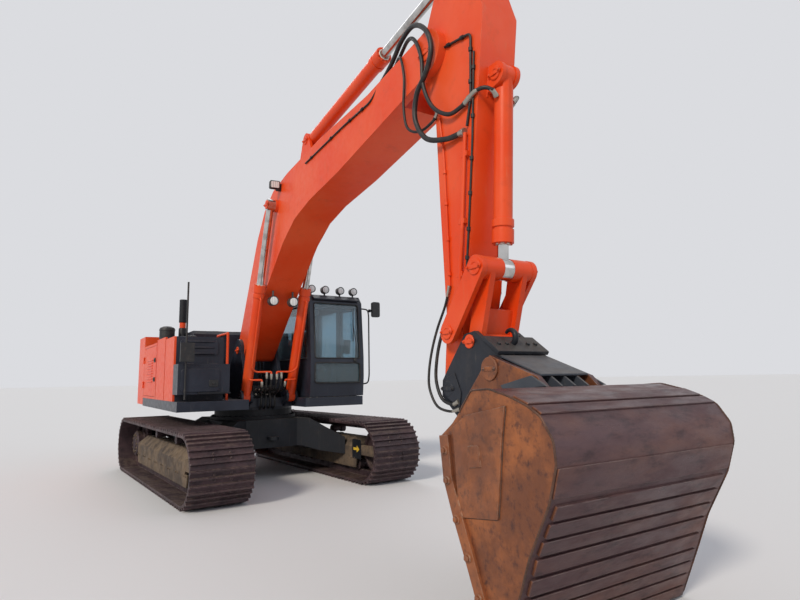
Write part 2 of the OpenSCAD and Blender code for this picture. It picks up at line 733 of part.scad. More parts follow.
module barrel(p, q, d, rod_d, long, pin_d, x, neck) along(p, q, x) difference() {
    union() {
        cylinder(d = d, h = long - 60);
        translate([0, 0, long - 110]) cylinder(d = d + 24, h = 110);
        rotate([0, 90, 0]) cylinder(d = pin_d + 90, h = eye_w, center = true);
    }
    translate([0, 0, neck + 15]) cylinder(d = rod_d + 2 * rod_gap, h = long);
    rotate([0, 90, 0]) cylinder(d = pin_d + 2 * pin_gap, h = 2 * d, center = true);
    both() translate([eye_w / 2, -d, -d]) cube([d, 2 * d, neck + d]);
}

// Rod with its eye at the far pin, reaching back into the barrel
module rod(p, q, d, long, pin_d, x) along(q, p, x) {
    translate([0, 0, pin_d / 2 + 20]) cylinder(d = d, h = long - pin_d / 2 - 20);
    rotate([0, 90, 0]) cylinder(d = pin_d + 90, h = eye_w, center = true);
}

boom_barrel_l = 1810;
boom_rod_l = 1880;
boom_rod_d = 105;

module boom_barrels() color(orange) both()
    barrel(boom_cyl_foot, boom_rod_pin, boom_cyl_d, boom_rod_d, boom_barrel_l, cyl_pin_d, boom_cyl_x,
        lug_r + 20);
module boom_rods() color(steel) both()
    rod(boom_cyl_foot, boom_rod_pin, boom_rod_d, boom_rod_l, cyl_pin_d, boom_cyl_x);

arm_barrel_l = 2080;
arm_rod_l = 2260;
arm_rod_d = 105;

module arm_barrel() color(orange)
    barrel(arm_cyl_base, lever_pin, arm_cyl_d, arm_rod_d, arm_barrel_l, cyl_pin_d, 0, lug_r + 25);
module arm_rod() color(steel)
    rod(arm_cyl_base, lever_pin, arm_rod_d, arm_rod_l, cyl_pin_d, 0);

bucket_barrel_l = 1400;
bucket_rod_l = 1400;
bucket_rod_d = 95;

module bucket_barrel() color(orange)
    barrel(bucket_cyl_base, link_top, bucket_cyl_d, bucket_rod_d, bucket_barrel_l, cyl_pin_d, 0, 120);
module bucket_rod() color(steel)
    rod(bucket_cyl_base, link_top, bucket_rod_d, bucket_rod_l, cyl_pin_d, 0);

// Arm

arm_half = arm_w / 2;
arm_end_half = 150;

module arm_side() {
    translate(tip) circle(r = 205);
    translate(lever_pin) circle(r = 120);
    translate(arm_end) circle(r = 130);
    polygon([tip + [-150, -140], tip + [-185, 90], tip + [60, 560], lever_pin + [-118, 20],
        lever_pin + [115, -30], tip + [720, 60], tip + [660, -380], tip + [560, -1080],
        tip + [450, -1900], tip + [330, -2500], arm_end + [125, 30], arm_end + [-125, -30],
        arm_end + [-60, 560], tip + [60, -1450], tip + [30, -620]]);
}

plate_x = arm_half + 5.4;
plate_t = 44;
rocker_x = plate_x + plate_t + 6;
rocker_t = 45;
end_pin_d = 90;
link_pin_d = 80;

module arm() color(orange) {
    difference() {
        across(-arm_half, arm_half) arm_side();
        // Slot for the arm cylinder's rod eye
        across(-75, 75) polygon([lever_pin + [-330, -270], lever_pin + [260, -270], lever_pin + [260, 330],
            lever_pin + [-330, 330]]);
    }
    // Bosses beside the rod eye
    both() cross_pin(lever_pin, 104, eye_w / 2 + side_gap, 76);
    // Tip pin in the boom's cheeks, the end pin for the coupler and the links' pin
    cross_pin(tip, 100, -boom_half, boom_half);
    cross_pin(arm_end, end_pin_d, -plate_x - plate_t, plate_x + plate_t);
    cross_pin(rocker_pin, link_pin_d, -rocker_x - rocker_t, rocker_x + rocker_t);
    both() cross_pin(rocker_pin, 130, arm_half - 1, rocker_x - side_gap);
    // Ears and pin of the bucket cylinder
    both() across(eye_w / 2 + side_gap, eye_w / 2 + side_gap + lug_t)
        ear(bucket_cyl_base, 98, tip + [500, -540], 120);
    cross_pin(bucket_cyl_base, cyl_pin_d, -eye_w / 2 - 1, eye_w / 2 + 1);
}

// Pipes on the arm's sides, held by clamps
arm_pipe_line = [tip + [470, -950], tip + [390, -1750], tip + [330, -2250]];
arm_pipe_x = arm_half + 28;

module arm_pipes() color(orange) both() {
    tube_run([for (p = arm_pipe_line) [arm_pipe_x, -p[0], p[1]]], 34);
    for (p = [arm_pipe_line[0] + [-18, -180], arm_pipe_line[1] + [0, 60], arm_pipe_line[2] + [12, 120]])
        across(arm_half + seat_gap, arm_pipe_x + 8) translate(p) square([70, 44], center = true);
}

module rocker_links() color(orange) both() across(rocker_x, rocker_x + rocker_t) difference() {
    ear(rocker_pin, 95, link_top, 95);
    translate(rocker_pin) circle(d = link_pin_d + 2 * pin_gap);
}

// Link between the rocker's pin and the coupler: two sides, a boss tube below and a web
link_x = plate_x - 1;

module h_link() color(orange) difference() {
    v = (link_top - link_pin) / norm(link_top - link_pin);
    n = [-v[1], v[0]];
    union() {
        both() across(link_x - 50, link_x) ear(link_pin, 74, link_top, 90);
        both() cross_pin(link_top, 184, eye_w / 2 + side_gap, rocker_x - side_gap);
        cross_pin(link_pin, 152, -link_x, link_x);
        across(-link_x + 1, link_x - 1) polygon([link_pin + 60 * v - 34 * n, link_pin + 270 * v - 34 * n,
            link_pin + 270 * v + 34 * n, link_pin + 60 * v + 34 * n]);
    }
    cross_pin(link_pin, link_pin_d + 2 * pin_gap, -link_x - 1, link_x + 1);
}

// Pin coupler: carried by the arm's end pin, moved at the link pin, holding the bucket's two pins
grip_a = arm_end + [275, -220];
grip_b = grip_a + [290, 370];
grip_d = 80;
grip_gap = 0.5;

module coupler() color(black) difference() {
    u = (link_pin - arm_end) / norm(link_pin - arm_end);
    w = [u[1], -u[0]];
    union() {
        both() across(plate_x, plate_x + plate_t) polygon([arm_end + [-90, -60], grip_a + [-60, -90],
            grip_a + [60, -80], grip_b + [95, -20], grip_b + [80, 90], link_pin + [60, 80],
            link_pin + [-62, 62], arm_end + [-80, 70]]);
        // Floor of the coupler between its sides
        across(-plate_x - 1, plate_x + 1) polygon([arm_end + 190 * w - 40 * u, arm_end + 190 * w + 470 * u,
            arm_end + 250 * w + 470 * u, arm_end + 250 * w - 40 * u]);
        cross_pin(link_pin, link_pin_d, -plate_x - plate_t, plate_x + plate_t);
    }
    cross_pin(arm_end, end_pin_d + 2 * pin_gap, -plate_x - plate_t - 1, plate_x + plate_t + 1);
    for (p = [grip_a, grip_b])
        cross_pin(p, grip_d + 2 * grip_gap, -plate_x - plate_t - 1, plate_x + plate_t + 1);
}

// Bucket: an open shell with its lip down and its mouth towards the machine
lip = [7030, lip_z];
bucket_half = bucket_w / 2;
ear_x = plate_x + plate_t + grip_gap;

module bucket_back() polygon([[6585, 1190], [6700, 1270], [6780, 1345], [6900, 1480], [7060, 1490],
    [7230, 1450], [7370, 1400], [7460, 1350], [7540, 1230], [7550, 1110], [7490, 910], [7330, 610],
    [7240, 380], [7090, lip_z], lip, [6900, 290], [6810, 490], [6710, 700], [6620, 920]]);

module bucket_inside() polygon([[6400, 1510], [6870, 1510], [6880, 1451], [7055, 1462], [7220, 1424],
    [7356, 1376], [7440, 1332], [7512, 1222], [7520, 1112], [7463, 918], [7303, 620], [7212, 388],
    [7040, lip_z - 40], [6400, lip_z - 40]]);

module bucket() color(rust) {
    difference() {
        across(-bucket_half, bucket_half) bucket_back();
        across(-bucket_half + bucket_t, bucket_half - bucket_t) bucket_inside();
    }
    // Ears, and the two pins that the coupler grips
    both() across(ear_x, ear_x + 42) polygon([grip_a + [-85, -50], grip_a + [40, -95], [6620, 1390],
        [6980, 1480], [6900, 1560], grip_b + [110, 60], grip_b + [0, 100], grip_a + [-70, 80]]);
    for (p = [grip_a, grip_b]) cross_pin(p, grip_d, -ear_x - 1, ear_x + 1);
}

car_body();
swing_ring();
track_frames();
track_left();
track_right();
idlers();
sprockets();
rollers();
travel_motors();
upper_frame();
counterweight();
engine_housing();
engine();
tanks();
hood();
pump_door();
cooler_door();
tool_box();
tool_box_lid();
handrails();
mirrors();
exhaust();
air_cleaner();
cab_shell();
cab_glass();
cab_door();
door_glass();
seat();
console();
cab_lights();
hydraulics();
boom();
boom_pipes();
boom_lamps();
boom_barrels();
boom_rods();
arm_barrel();
arm_rod();
arm();
arm_pipes();
bucket_barrel();
bucket_rod();
rocker_links();
h_link();
coupler();
bucket();
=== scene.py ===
"""Looks of a crawler excavator: paint, steel, glass, hoses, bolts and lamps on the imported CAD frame."""

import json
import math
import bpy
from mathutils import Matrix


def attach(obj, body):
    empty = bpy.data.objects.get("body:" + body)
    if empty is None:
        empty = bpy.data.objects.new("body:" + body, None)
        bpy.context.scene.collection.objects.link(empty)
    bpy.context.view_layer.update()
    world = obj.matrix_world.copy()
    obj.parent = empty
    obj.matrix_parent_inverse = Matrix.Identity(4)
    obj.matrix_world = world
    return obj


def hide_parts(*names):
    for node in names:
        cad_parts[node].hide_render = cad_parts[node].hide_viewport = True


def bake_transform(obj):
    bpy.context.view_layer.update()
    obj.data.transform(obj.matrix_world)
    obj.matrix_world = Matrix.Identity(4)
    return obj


bl_info = {
    "name": "Crawler excavator looks",
    "version": (1, 0, 0),
    "blender": (4, 5, 0),
    "location": "3D View > Sidebar > Excavator",
    "description": "Dresses the excavator's CAD frame with finishes, hoses, fasteners, lamps and a stage",
    "category": "Object",
}

import bmesh
import bpy
from bpy.props import FloatProperty, FloatVectorProperty, PointerProperty
from bpy.types import Operator, Panel, PropertyGroup
from mathutils import Matrix, Vector

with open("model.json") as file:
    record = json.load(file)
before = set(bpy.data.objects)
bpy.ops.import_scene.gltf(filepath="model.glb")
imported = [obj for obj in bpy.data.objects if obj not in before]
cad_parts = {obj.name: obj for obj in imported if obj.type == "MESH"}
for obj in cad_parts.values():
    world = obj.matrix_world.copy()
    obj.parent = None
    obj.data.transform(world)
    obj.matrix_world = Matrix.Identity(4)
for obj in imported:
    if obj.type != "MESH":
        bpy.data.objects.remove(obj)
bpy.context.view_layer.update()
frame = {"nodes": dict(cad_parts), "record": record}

# Sizes of the frame that the pieces are set out by, in metres. A place is (x, forward, up).
TRACK_TURN = math.radians(3.2)
TRACK_L, GAUGE, LINK_R, SHOES = 4.01, 2.59, 0.37, 48
TRACK_Z, SHOE_TOP, HALF_SKIRT = 0.465, 0.062, 0.207
FOOT, TIP, ARM_END = (0.1, 2.08), (5.7, 4.53), (5.871, 1.47)
BOOM_CYL_FOOT, BOOM_ROD_PIN = (0.74, 1.31), (1.78, 4.16)
ARM_CYL_BASE, LEVER_PIN = (2.45, 4.98), (6.05, 5.42)
BUCKET_CYL_BASE, LINK_TOP = (6.43, 4.02), (6.316, 2.41)
ROCKER_PIN, LINK_PIN = (5.941, 1.93), (6.161, 1.84)
GRIP_A, GRIP_B = (6.146, 1.25), (6.436, 1.62)
CAB_X0, CAB_X1, CAB_FRONT, CAB_FLOOR, CAB_TOP = 0.53, 1.495, 1.22, 1.293, 2.975
CAB_X = (CAB_X0 + CAB_X1) / 2
HALF_W, COUPLER_HALF, EAR_HALF, BUCKET_HALF = 1.48, 0.2394, 0.2819, 0.85
UP, AHEAD, REARWARD = (0, 0, 1), (0, -1, 0), (0, 1, 0)
# Camera worked out from the photograph: lens in mm on a 36 mm sensor, yaw, pitch and roll in degrees, place
VIEW_LENS, VIEW_TURN, VIEW_PLACE = 25.016, (32.36, 8.05, -1.007), (-3.051, -9.581, 1.559)
# Body, base pin, rod pin, length, radii of barrel, gland and rod, places across
CYLINDERS = (
    ("boom_barrels", BOOM_CYL_FOOT, BOOM_ROD_PIN, 1.81, 0.08, 0.092, 0.0525, (-0.37, 0.37)),
    ("arm_barrel", ARM_CYL_BASE, LEVER_PIN, 2.08, 0.0875, 0.0995, 0.0525, (0.0,)),
    ("bucket_barrel", BUCKET_CYL_BASE, LINK_TOP, 1.4, 0.0775, 0.0895, 0.0475, (0.0,)),
)

made_materials = {}


def spot(x, forward, up):
    """Point of the frame from across, forward and up."""
    return Vector((x, -forward, up))


def spots(x, places):
    """Points from the (forward, up) places of a side view, at a distance across."""
    return [spot(x, *place) for place in places]


# Node trees

def rgb(code):
    """Linear colour of an sRGB hex code."""
    parts = [int(code[i:i + 2], 16) / 255 for i in (1, 3, 5)]
    return tuple(p / 12.92 if p <= 0.04045 else ((p + 0.055) / 1.055) ** 2.4 for p in parts) + (1.0,)


def per_mm(size):
    """Scale of a pattern on Object coordinates whose features are that many millimetres apart."""
    return 1000.0 / size


def add(tree, kind, inputs=None, **settings):
    """Add a node: settings are its properties, inputs its sockets' values or links."""
    made = tree.nodes.new(kind)
    for name, value in settings.items():
        setattr(made, name, value)
    for name, value in (inputs or {}).items():
        if isinstance(value, bpy.types.NodeSocket):
            tree.links.new(value, made.inputs[name])
        else:
            made.inputs[name].default_value = value
    return made


def shader(slot, name, values):
    """A new material with a Principled surface, kept under its slot; returns its tree and surface."""
    made = made_materials[slot] = bpy.data.materials.new(name)
    made.use_nodes = True
    tree = made.node_tree
    tree.nodes.clear()
    surface = add(tree, "ShaderNodeBsdfPrincipled", values)
    add(tree, "ShaderNodeOutputMaterial", {"Surface": surface.outputs["BSDF"]})
    return tree, surface


def wire(tree, surface, tone, matt=None, normal=None):
    """Link colour, roughness and normal to a surface."""
    for name, value in (("Base Color", tone), ("Roughness", matt), ("Normal", normal)):
        if value is not None:
            tree.links.new(value, surface.inputs[name])


def noise(tree, where, size_mm, detail=4.0, roughness=0.55):
    """Strength of a noise whose blotches are that many millimetres wide."""
    return add(tree, "ShaderNodeTexNoise", {"Vector": where, "Scale": per_mm(size_mm), "Detail": detail,
                                            "Roughness": roughness}).outputs["Fac"]


def step(tree, value, low, high, to_low=0.0, to_high=1.0):
    """Value brought from low..high to to_low..to_high, with soft ends."""
    return add(tree, "ShaderNodeMapRange", {0: value, 1: low, 2: high, 3: to_low, 4: to_high},
               interpolation_type="SMOOTHSTEP").outputs[0]


def blotch(tree, where, size_mm, detail, low, high, roughness=0.55, to_low=0.0, to_high=1.0):
    """Noise brought from low..high to to_low..to_high."""
    return step(tree, noise(tree, where, size_mm, detail, roughness), low, high, to_low, to_high)


def calc(tree, how, a, b=0.0):
    return add(tree, "ShaderNodeMath", {0: a, 1: b}, operation=how).outputs[0]


def times(tree, a, b):
    return calc(tree, "MULTIPLY", a, b)


def over(tree, factor, below, above):
    """Colour above laid over colour below by factor."""
    sockets = {0: factor}
    for index, value in ((6, below), (7, above)):
        sockets[index] = rgb(value) if isinstance(value, str) else value
    return add(tree, "ShaderNodeMix", sockets, data_type="RGBA").outputs[2]


def object_place(tree, scale=(1.0, 1.0, 1.0)):
    """Object coordinates, stretched by scale."""
    where = add(tree, "ShaderNodeTexCoord").outputs["Object"]
    return add(tree, "ShaderNodeMapping", {"Vector": where, "Scale": scale}).outputs["Vector"]


def axis_of(tree, vector, axis):
    return add(tree, "ShaderNodeSeparateXYZ", {0: vector}).outputs[axis]


def face_normal(tree):
    return add(tree, "ShaderNodeNewGeometry").outputs["Normal"]


def edges(tree, radius_mm, low=0.02, high=0.25):
    """1 on the solid's sharp edges, 0 on its faces; also the normal that rounds them."""
    rounded = add(tree, "ShaderNodeBevel", {"Radius": radius_mm / 1000}, samples=4).outputs["Normal"]
    dot = add(tree, "ShaderNodeVectorMath", {0: rounded, 1: face_normal(tree)},
              operation="DOT_PRODUCT").outputs["Value"]
    return step(tree, dot, 1 - low, 1 - high), rounded


def facing_up(tree):
    """1 on faces that look up, where dust settles."""
    return step(tree, axis_of(tree, face_normal(tree), "Z"), 0.35, 0.9)


def bump(tree, height, distance_mm, normal):
    return add(tree, "ShaderNodeBump", {"Height": height, "Distance": distance_mm / 1000,
                                        "Normal": normal}).outputs["Normal"]


# Finishes

def sprayed_enamel(wear, slot, name, fresh, faded, chip, dust, dust_amount, roughness, flank=None):
    """Machine enamel on steel: faded in clouds, streaked by rain, chipped at edges, dusty on top.
    flank is a pair of colours that take over on the body's outermost sides."""
    tree, surface = shader(slot, name, {
        "Specular IOR Level": 0.3, "Coat Weight": 0.05, "Coat Roughness": 0.2})
    where = object_place(tree)
    clouds = blotch(tree, where, 900, 5.0, 0.35, 0.7)
    grime = blotch(tree, where, 160, 8.0, 0.52, 0.78, 0.7)
    # Rain draws the dust down in streaks some 40 mm apart
    streaks = blotch(tree, object_place(tree, (1.0, 1.0, 0.08)), 40, 5.0, 0.56, 0.8, 0.65)
    rim, rounded = edges(tree, 7)
    chips = times(tree, rim, blotch(tree, where, 22, 6.0, 0.5, 0.62, 0.75))
    settled = blotch(tree, where, 240, 6.0, 0.3, 0.75, 0.65, 0.25 * dust_amount, dust_amount)
    film = times(tree, facing_up(tree), settled)
    tone = over(tree, clouds, fresh, faded)
    if flank:
        outermost = calc(tree, "GREATER_THAN", calc(tree, "ABSOLUTE", axis_of(tree, where, "X")), 1.45)
        tone = over(tree, outermost, tone, over(tree, clouds, *flank))
    for factor, above in ((times(tree, grime, 0.2), chip), (times(tree, streaks, 0.22), dust), (film, dust),
                          (times(tree, chips, wear), chip)):
        tone = over(tree, factor, tone, above)
    matt = blotch(tree, where, 70, 5.0, 0.2, 0.8, 0.55, roughness - 0.06, roughness + 0.12)
    # Orange peel of sprayed paint is 2 mm wide; 9 mm is the finest that shows in the picture
    wire(tree, surface, tone, calc(tree, "ADD", matt, times(tree, film, 0.5)),
         bump(tree, noise(tree, where, 9, 2.0), 0.25, rounded))


def rusted_steel(slot, name, bright, brown, dark, polished, grain_mm, roughness, metal, earth=None,
                 stretch=(1.0, 1.0, 1.0), flank=None):
    """Bare steel that rusts between jobs: brown blooms, dark scale, rubbed bright along its edges.
    earth is a colour of dried soil on its upward faces, flank a pair for those that look sideways."""
    tree, surface = shader(slot, name, {"Metallic": metal, "Specular IOR Level": 0.45})
    where = object_place(tree, stretch)
    bloom = blotch(tree, where, 420, 7.0, 0.38, 0.66, 0.65)
    scale = blotch(tree, where, 60, 8.0, 0.48, 0.7, 0.7)
    rim, rounded = edges(tree, 9, 0.03, 0.3)
    rubbed = times(tree, rim, blotch(tree, where, 35, 5.0, 0.35, 0.6))
    tone = over(tree, bloom, brown, bright)
    if flank:
        sideways = calc(tree, "ABSOLUTE", axis_of(tree, face_normal(tree), "X"))
        tone = over(tree, step(tree, sideways, 0.5, 0.9), tone, over(tree, bloom, *flank))
    tone = over(tree, times(tree, scale, 0.7), tone, dark)
    if earth:
        cake = times(tree, facing_up(tree), blotch(tree, where, 130, 7.0, 0.4, 0.62, 0.7))
        tone = over(tree, times(tree, cake, 0.75), tone, earth)
    tone = over(tree, times(tree, rubbed, 0.8), tone, polished)
    matt = blotch(tree, where, 90, 6.0, 0.25, 0.75, 0.55, roughness - 0.15, roughness + 0.2)
    wire(tree, surface, tone, matt, bump(tree, noise(tree, where, grain_mm, 8.0, 0.7), 1.6, rounded))


def moulded(slot, name, tone, rough, grain_mm, dirt_amount=0.35, metal=0.0):
    """Moulded or plated piece with a fine grain and some dirt in its hollows."""
    tree, surface = shader(slot, name, {"Metallic": metal, "Roughness": rough})
    where = object_place(tree)
    dirt = times(tree, blotch(tree, where, 60, 6.0, 0.45, 0.8, 0.65), dirt_amount)
    rounded = edges(tree, 4)[1]
    wire(tree, surface, over(tree, dirt, tone, "#5d564e"), None,
         bump(tree, noise(tree, where, grain_mm, 3.0), 0.3, rounded))


def banded(slot, name, values, size_mm, distortion, below, above, height_mm):
    """Surface ribbed by waves that are that many millimetres apart."""
    tree, surface = shader(slot, name, values)
    waves = add(tree, "ShaderNodeTexWave", {"Vector": object_place(tree), "Scale": per_mm(size_mm) / 6,
                                            "Distortion": distortion}).outputs["Fac"]
    wire(tree, surface, over(tree, waves, below, above), None,
         bump(tree, waves, height_mm, face_normal(tree)))


def filmed(slot, name, values, blur, share, below, above, least, most):
    """Clear or polished surface under a blurred film that dulls it from least to most."""
    tree, surface = shader(slot, name, values)
    film = blotch(tree, object_place(tree), *blur)
    factor = times(tree, film, share) if share < 1.0 else film
    wire(tree, surface, over(tree, factor, below, above), step(tree, film, 0.0, 1.0, least, most))


def make_finishes(look):
    """One material for each of the record's slots, and a few for small pieces, named for the real one."""
    orange, dark = tuple(look.orange), tuple(look.dark)
    navy = ("#2d3340", "#4a4540", "#8d857b")
    for row in (
            # Gives the boom and the sides the orange-red of the photograph, paler where the sun has been
            ("paint_orange", "orange acrylic enamel, sprayed", orange, "#e5562a", "#6a3522", "#c08a66",
             0.2, 0.36),
            # Reads blue-black under the sky; the outermost sides of the housings stay orange
            ("paint_navy", "blue-black acrylic enamel, sprayed", dark, *navy, 0.35, 0.4, (orange, "#e2552b")),
            # The same but cleaner and glossier, so that the cab stands out from the housings
            ("cab_enamel", "blue-black acrylic enamel on the cab, sprayed", dark, *navy, 0.25, 0.34),
            # Dull black that keeps the chassis and the decks in the background
            ("paint_black", "black chassis enamel, sprayed", "#0f1218", "#181c24", "#453a32", "#6f675e",
             0.25, 0.5),
            # Black castings of the coupler, greasy and knocked bare in places
            ("coupler_steel", "black enamel on cast steel, worn", "#15181f", "#262a33", "#5b5148", "#7d746a",
             0.3, 0.45),
            # Blue-grey primer that the coupler's adapter on the bucket keeps
            ("adapter_enamel", "blue-grey primer, sprayed", "#353b45", "#464c55", "#5b4438", "#8a7f74",
             0.35, 0.45)):
        sprayed_enamel(look.wear, *row)
    for row in (
            # Purple-brown rust of shoes that rub bright on their grousers, with soil left on top
            ("track_steel", "manganese steel track shoes, rusted", "#523f43", "#3a2d32", "#262125", "#9a8a84",
             14, 0.55, 0.35, "#6e5f57"),
            # Dry mud hides the enamel of the track frames
            ("frame_steel", "black enamel under dried mud", "#6f5f4e", "#4a4039", "#2c2a2b", "#8d7a66",
             24, 0.85, 0.0, "#8d7b66"),
            # Warm rust over wear plate, streaked along the plates, with old paint on the sides
            ("bucket_steel", "wear plate steel, rusted", "#705049", "#584144", "#3a2c30", "#9b8c84",
             12, 0.42, 0.45, None, (0.35, 1.0, 1.0), ("#7a4c36", "#ad6a40")),
            ("bucket_side", "side plate steel, rusted over old orange paint", "#a5653e", "#7a4c36", "#543a30",
             "#a58f7c", 10, 0.48, 0.25),
            # Grey sand cast grain
            ("bare_iron", "cast iron, sand cast", "#5a5753", "#4a4744", "#33302e", "#7c7873", 10, 0.7, 0.3),
            # Beads of weld metal are rougher and darker than the plates that they join
            ("weld", "weld metal, rusted", "#6e4a38", "#4a3630", "#33292a", "#84756a", 6, 0.6, 0.4)):
        rusted_steel(*row)
    for row in (
            # Small bright nuts and treads that catch the sun
            ("zinc", "zinc plated steel", "#a9a59b", 0.38, 6, 0.3, 0.9),
            # Nearly black, with a soft light along the top of each hose
            ("hose_rubber", "black nitrile rubber, extruded", "#141416", 0.5, 5),
            # Trim that is a shade paler and duller than the hoses
            ("black_plastic", "black polypropylene, moulded", "#1c1d20", 0.55, 5),
            # Dull grey round the bright lenses
            ("lamp_body", "grey polyamide, moulded", "#4b4b4a", 0.45, 5),
            # The one yellow spot between the tracks
            ("marking", "yellow vinyl film", "#d9b53a", 0.45, 7, 0.25),
            # Pale ring where each rod leaves its barrel
            ("seal", "white polyurethane wiper seal", "#d8d4ca", 0.5, 5, 0.3)):
        moulded(*row)
    # Rods mirror their surroundings, with duller bands
    filmed("rod_chrome", "hard chrome, ground and polished", {"Metallic": 1.0}, (120, 4.0, 0.35, 0.7), 1.0,
           "#cfcdca", "#a9a6a2", 0.08, 0.2)
    # Grey-blue panes that show the dark cab inside and a film of dust
    filmed("clear_glass", "tinted safety glass", {"IOR": 1.5, "Transmission Weight": 0.9},
           (300, 6.0, 0.4, 0.8, 0.6), 0.3, "#a3c1cf", "#c9cdc9", 0.02, 0.18)
    # Moulded ribs spread the light of the lamps
    banded("lens", "clear polycarbonate lamp lens", {"Roughness": 0.12, "IOR": 1.58, "Coat Weight": 0.6},
           14, 0.0, "#b9bcbc", "#eef0ee", 1.5)
    # The real thread is 1 mm; 6 mm is the finest that shows through the windscreen
    banded("seat_cloth", "woven polyester seat cloth", {"Roughness": 0.9, "Sheen Weight": 0.3},
           6, 1.0, "#202126", "#34353b", 1.0)


def node_group(name, **inputs):
    """Geometry node group with a geometry input and output and further inputs; also its inputs' sockets."""
    tree = bpy.data.node_groups.new(name, "GeometryNodeTree")
    for label, kind in (("Geometry", "Geometry"), *inputs.items()):
        tree.interface.new_socket(label, in_out="INPUT", socket_type=f"NodeSocket{kind}")
    tree.interface.new_socket("Geometry", in_out="OUTPUT", socket_type="NodeSocketGeometry")
    return tree, add(tree, "NodeGroupInput").outputs


def smooth_nodes():
    """Geometry nodes that join facets and shade them smooth, with edges over 30 degrees kept sharp."""
    tree, given = node_group("smooth_round_faces")
    joined = add(tree, "GeometryNodeMergeByDistance", {"Geometry": given[0], "Distance": 0.00001})
    faces = add(tree, "GeometryNodeSetShadeSmooth", {"Geometry": joined.outputs[0], "Shade Smooth": True})
    angle = add(tree, "GeometryNodeInputMeshEdgeAngle").outputs["Unsigned Angle"]
    sharp = add(tree, "FunctionNodeCompare", {0: angle, 1: math.radians(30)}, operation="GREATER_THAN")
    ends = add(tree, "GeometryNodeSetShadeSmooth", {"Geometry": faces.outputs[0], "Shade Smooth": False,
                                                    "Selection": sharp.outputs[0]}, domain="EDGE")
    add(tree, "NodeGroupOutput", {0: ends.outputs[0]})
    return tree


# Mesh code. A part is (points, faces).

def piece(name, parts, body, slot, finish=None, smooth=True, second=None, second_faces=()):
    """An object from parts that rides on a body, with its finish and slot."""
    points, faces = [], []
    for some, these in parts:
        faces += [tuple(i + len(points) for i in face) for face in these]
        points += [tuple(p) for p in some]
    mesh = bpy.data.meshes.new(name)
    mesh.from_pydata(points, [], faces)
    work = bmesh.new()
    work.from_mesh(mesh)
    work.faces.ensure_lookup_table()
    for index in second_faces:
        work.faces[index].material_index = 1
    bmesh.ops.recalc_face_normals(work, faces=work.faces)
    for edge in work.edges:
        edge.smooth = len(edge.link_faces) == 2 and edge.calc_face_angle(0.0) < math.radians(35)
    for face in work.faces:
        face.smooth = smooth
    work.to_mesh(mesh)
    work.free()
    made = bpy.data.objects.new(name, mesh)
    bpy.context.scene.collection.objects.link(made)
    for key in (finish or slot, second):
        if key:
            mesh.materials.append(made_materials[key])
    if body:
        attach(made, body)
    return made


def frame_at(origin, way):
    """Matrix that stands local Z along a direction at a place."""
    return Matrix.Translation(origin) @ Vector(way).to_track_quat("Z", "Y").to_matrix().to_4x4()


def arc(matrix, radius, turns, height=0.0):
    """Points on a circle about local Z, at shares of a turn."""
    return [matrix @ Vector((radius * math.cos(2 * math.pi * t), radius * math.sin(2 * math.pi * t), height))
            for t in turns]


def ring_faces(rings, count):
    """Faces of a tube whose points come in rings of count, with both ends capped."""
    faces = []
    for j in range(rings - 1):
        for i in range(count):
            a, b = j * count + i, j * count + (i + 1) % count
            faces.append((a, b, b + count, a + count))
    return faces + [tuple(range(count)), tuple(range((rings - 1) * count, rings * count))]


def lathe(profile, origin, way, sides=24):
    """Closed turned part: profile is [(radius, height)] from the axis back to the axis."""
    matrix = frame_at(origin, way)
    turns = [i / sides for i in range(sides)]
    points = [p for radius, height in profile for p in arc(matrix, radius, turns, height)]
    return points, ring_faces(len(profile), sides)


def slab(corners, thick, matrix, rim=0.004):
    """Plate from 2-D corners, lifted along local Z, with its upper edge broken by a chamfer."""
    corners = [Vector(c) for c in corners]
    middle = sum(corners, Vector((0, 0))) / len(corners)
    share = 1 - rim / max((c - middle).length for c in corners)
    inner = [middle + (c - middle) * share for c in corners]
    rings = ((corners, 0.0), (corners, thick - rim), (inner, thick))
    points = [matrix @ Vector((c.x, c.y, z)) for ring, z in rings for c in ring]
    return points, ring_faces(len(rings), len(corners))


def rounded(width, height, radius, count=4):
    """Corners of a rounded rectangle about the origin."""
    out = []
    for cx, cy, turn in ((1, 1, 0), (-1, 1, 90), (-1, -1, 180), (1, -1, 270)):
        for i in range(count + 1):
            a = math.radians(turn + 90 * i / count)
            out.append((cx * (width / 2 - radius) + radius * math.cos(a),
                        cy * (height / 2 - radius) + radius * math.sin(a)))
    return out


def pad(width, height, radius, thick, at, way):
    """Rounded plate that lies on a face."""
    return slab(rounded(width, height, radius), thick, frame_at(at, way))


def flow(points, gap):
    """Smooth line through the points, with a point about every gap."""
    points = [2 * points[0] - points[1], *points, 2 * points[-1] - points[-2]]
    out = []
    for a, b, c, d in zip(points, points[1:], points[2:], points[3:]):
        count = max(2, round((c - b).length / gap))
        for i in range(count):
            t = i / count
            out.append(0.5 * (2 * b + (c - a) * t + (2 * a - 5 * b + 4 * c - d) * t * t
                              + (3 * b - a - 3 * c + d) * t ** 3))
    return out + [points[-2]]


def bent(points, reach, count=5):
    """Straight runs through the points with their corners rounded over a reach."""
    out = [points[0]]
    for a, b, c in zip(points, points[1:], points[2:]):
        r = min(reach, (b - a).length / 2.1, (c - b).length / 2.1)
        start, end = b + (a - b).normalized() * r, b + (c - b).normalized() * r
        for i in range(count + 1):
            t = i / count
            out.append(start * (1 - t) ** 2 + b * 2 * t * (1 - t) + end * t * t)
    return out + [points[-1]]


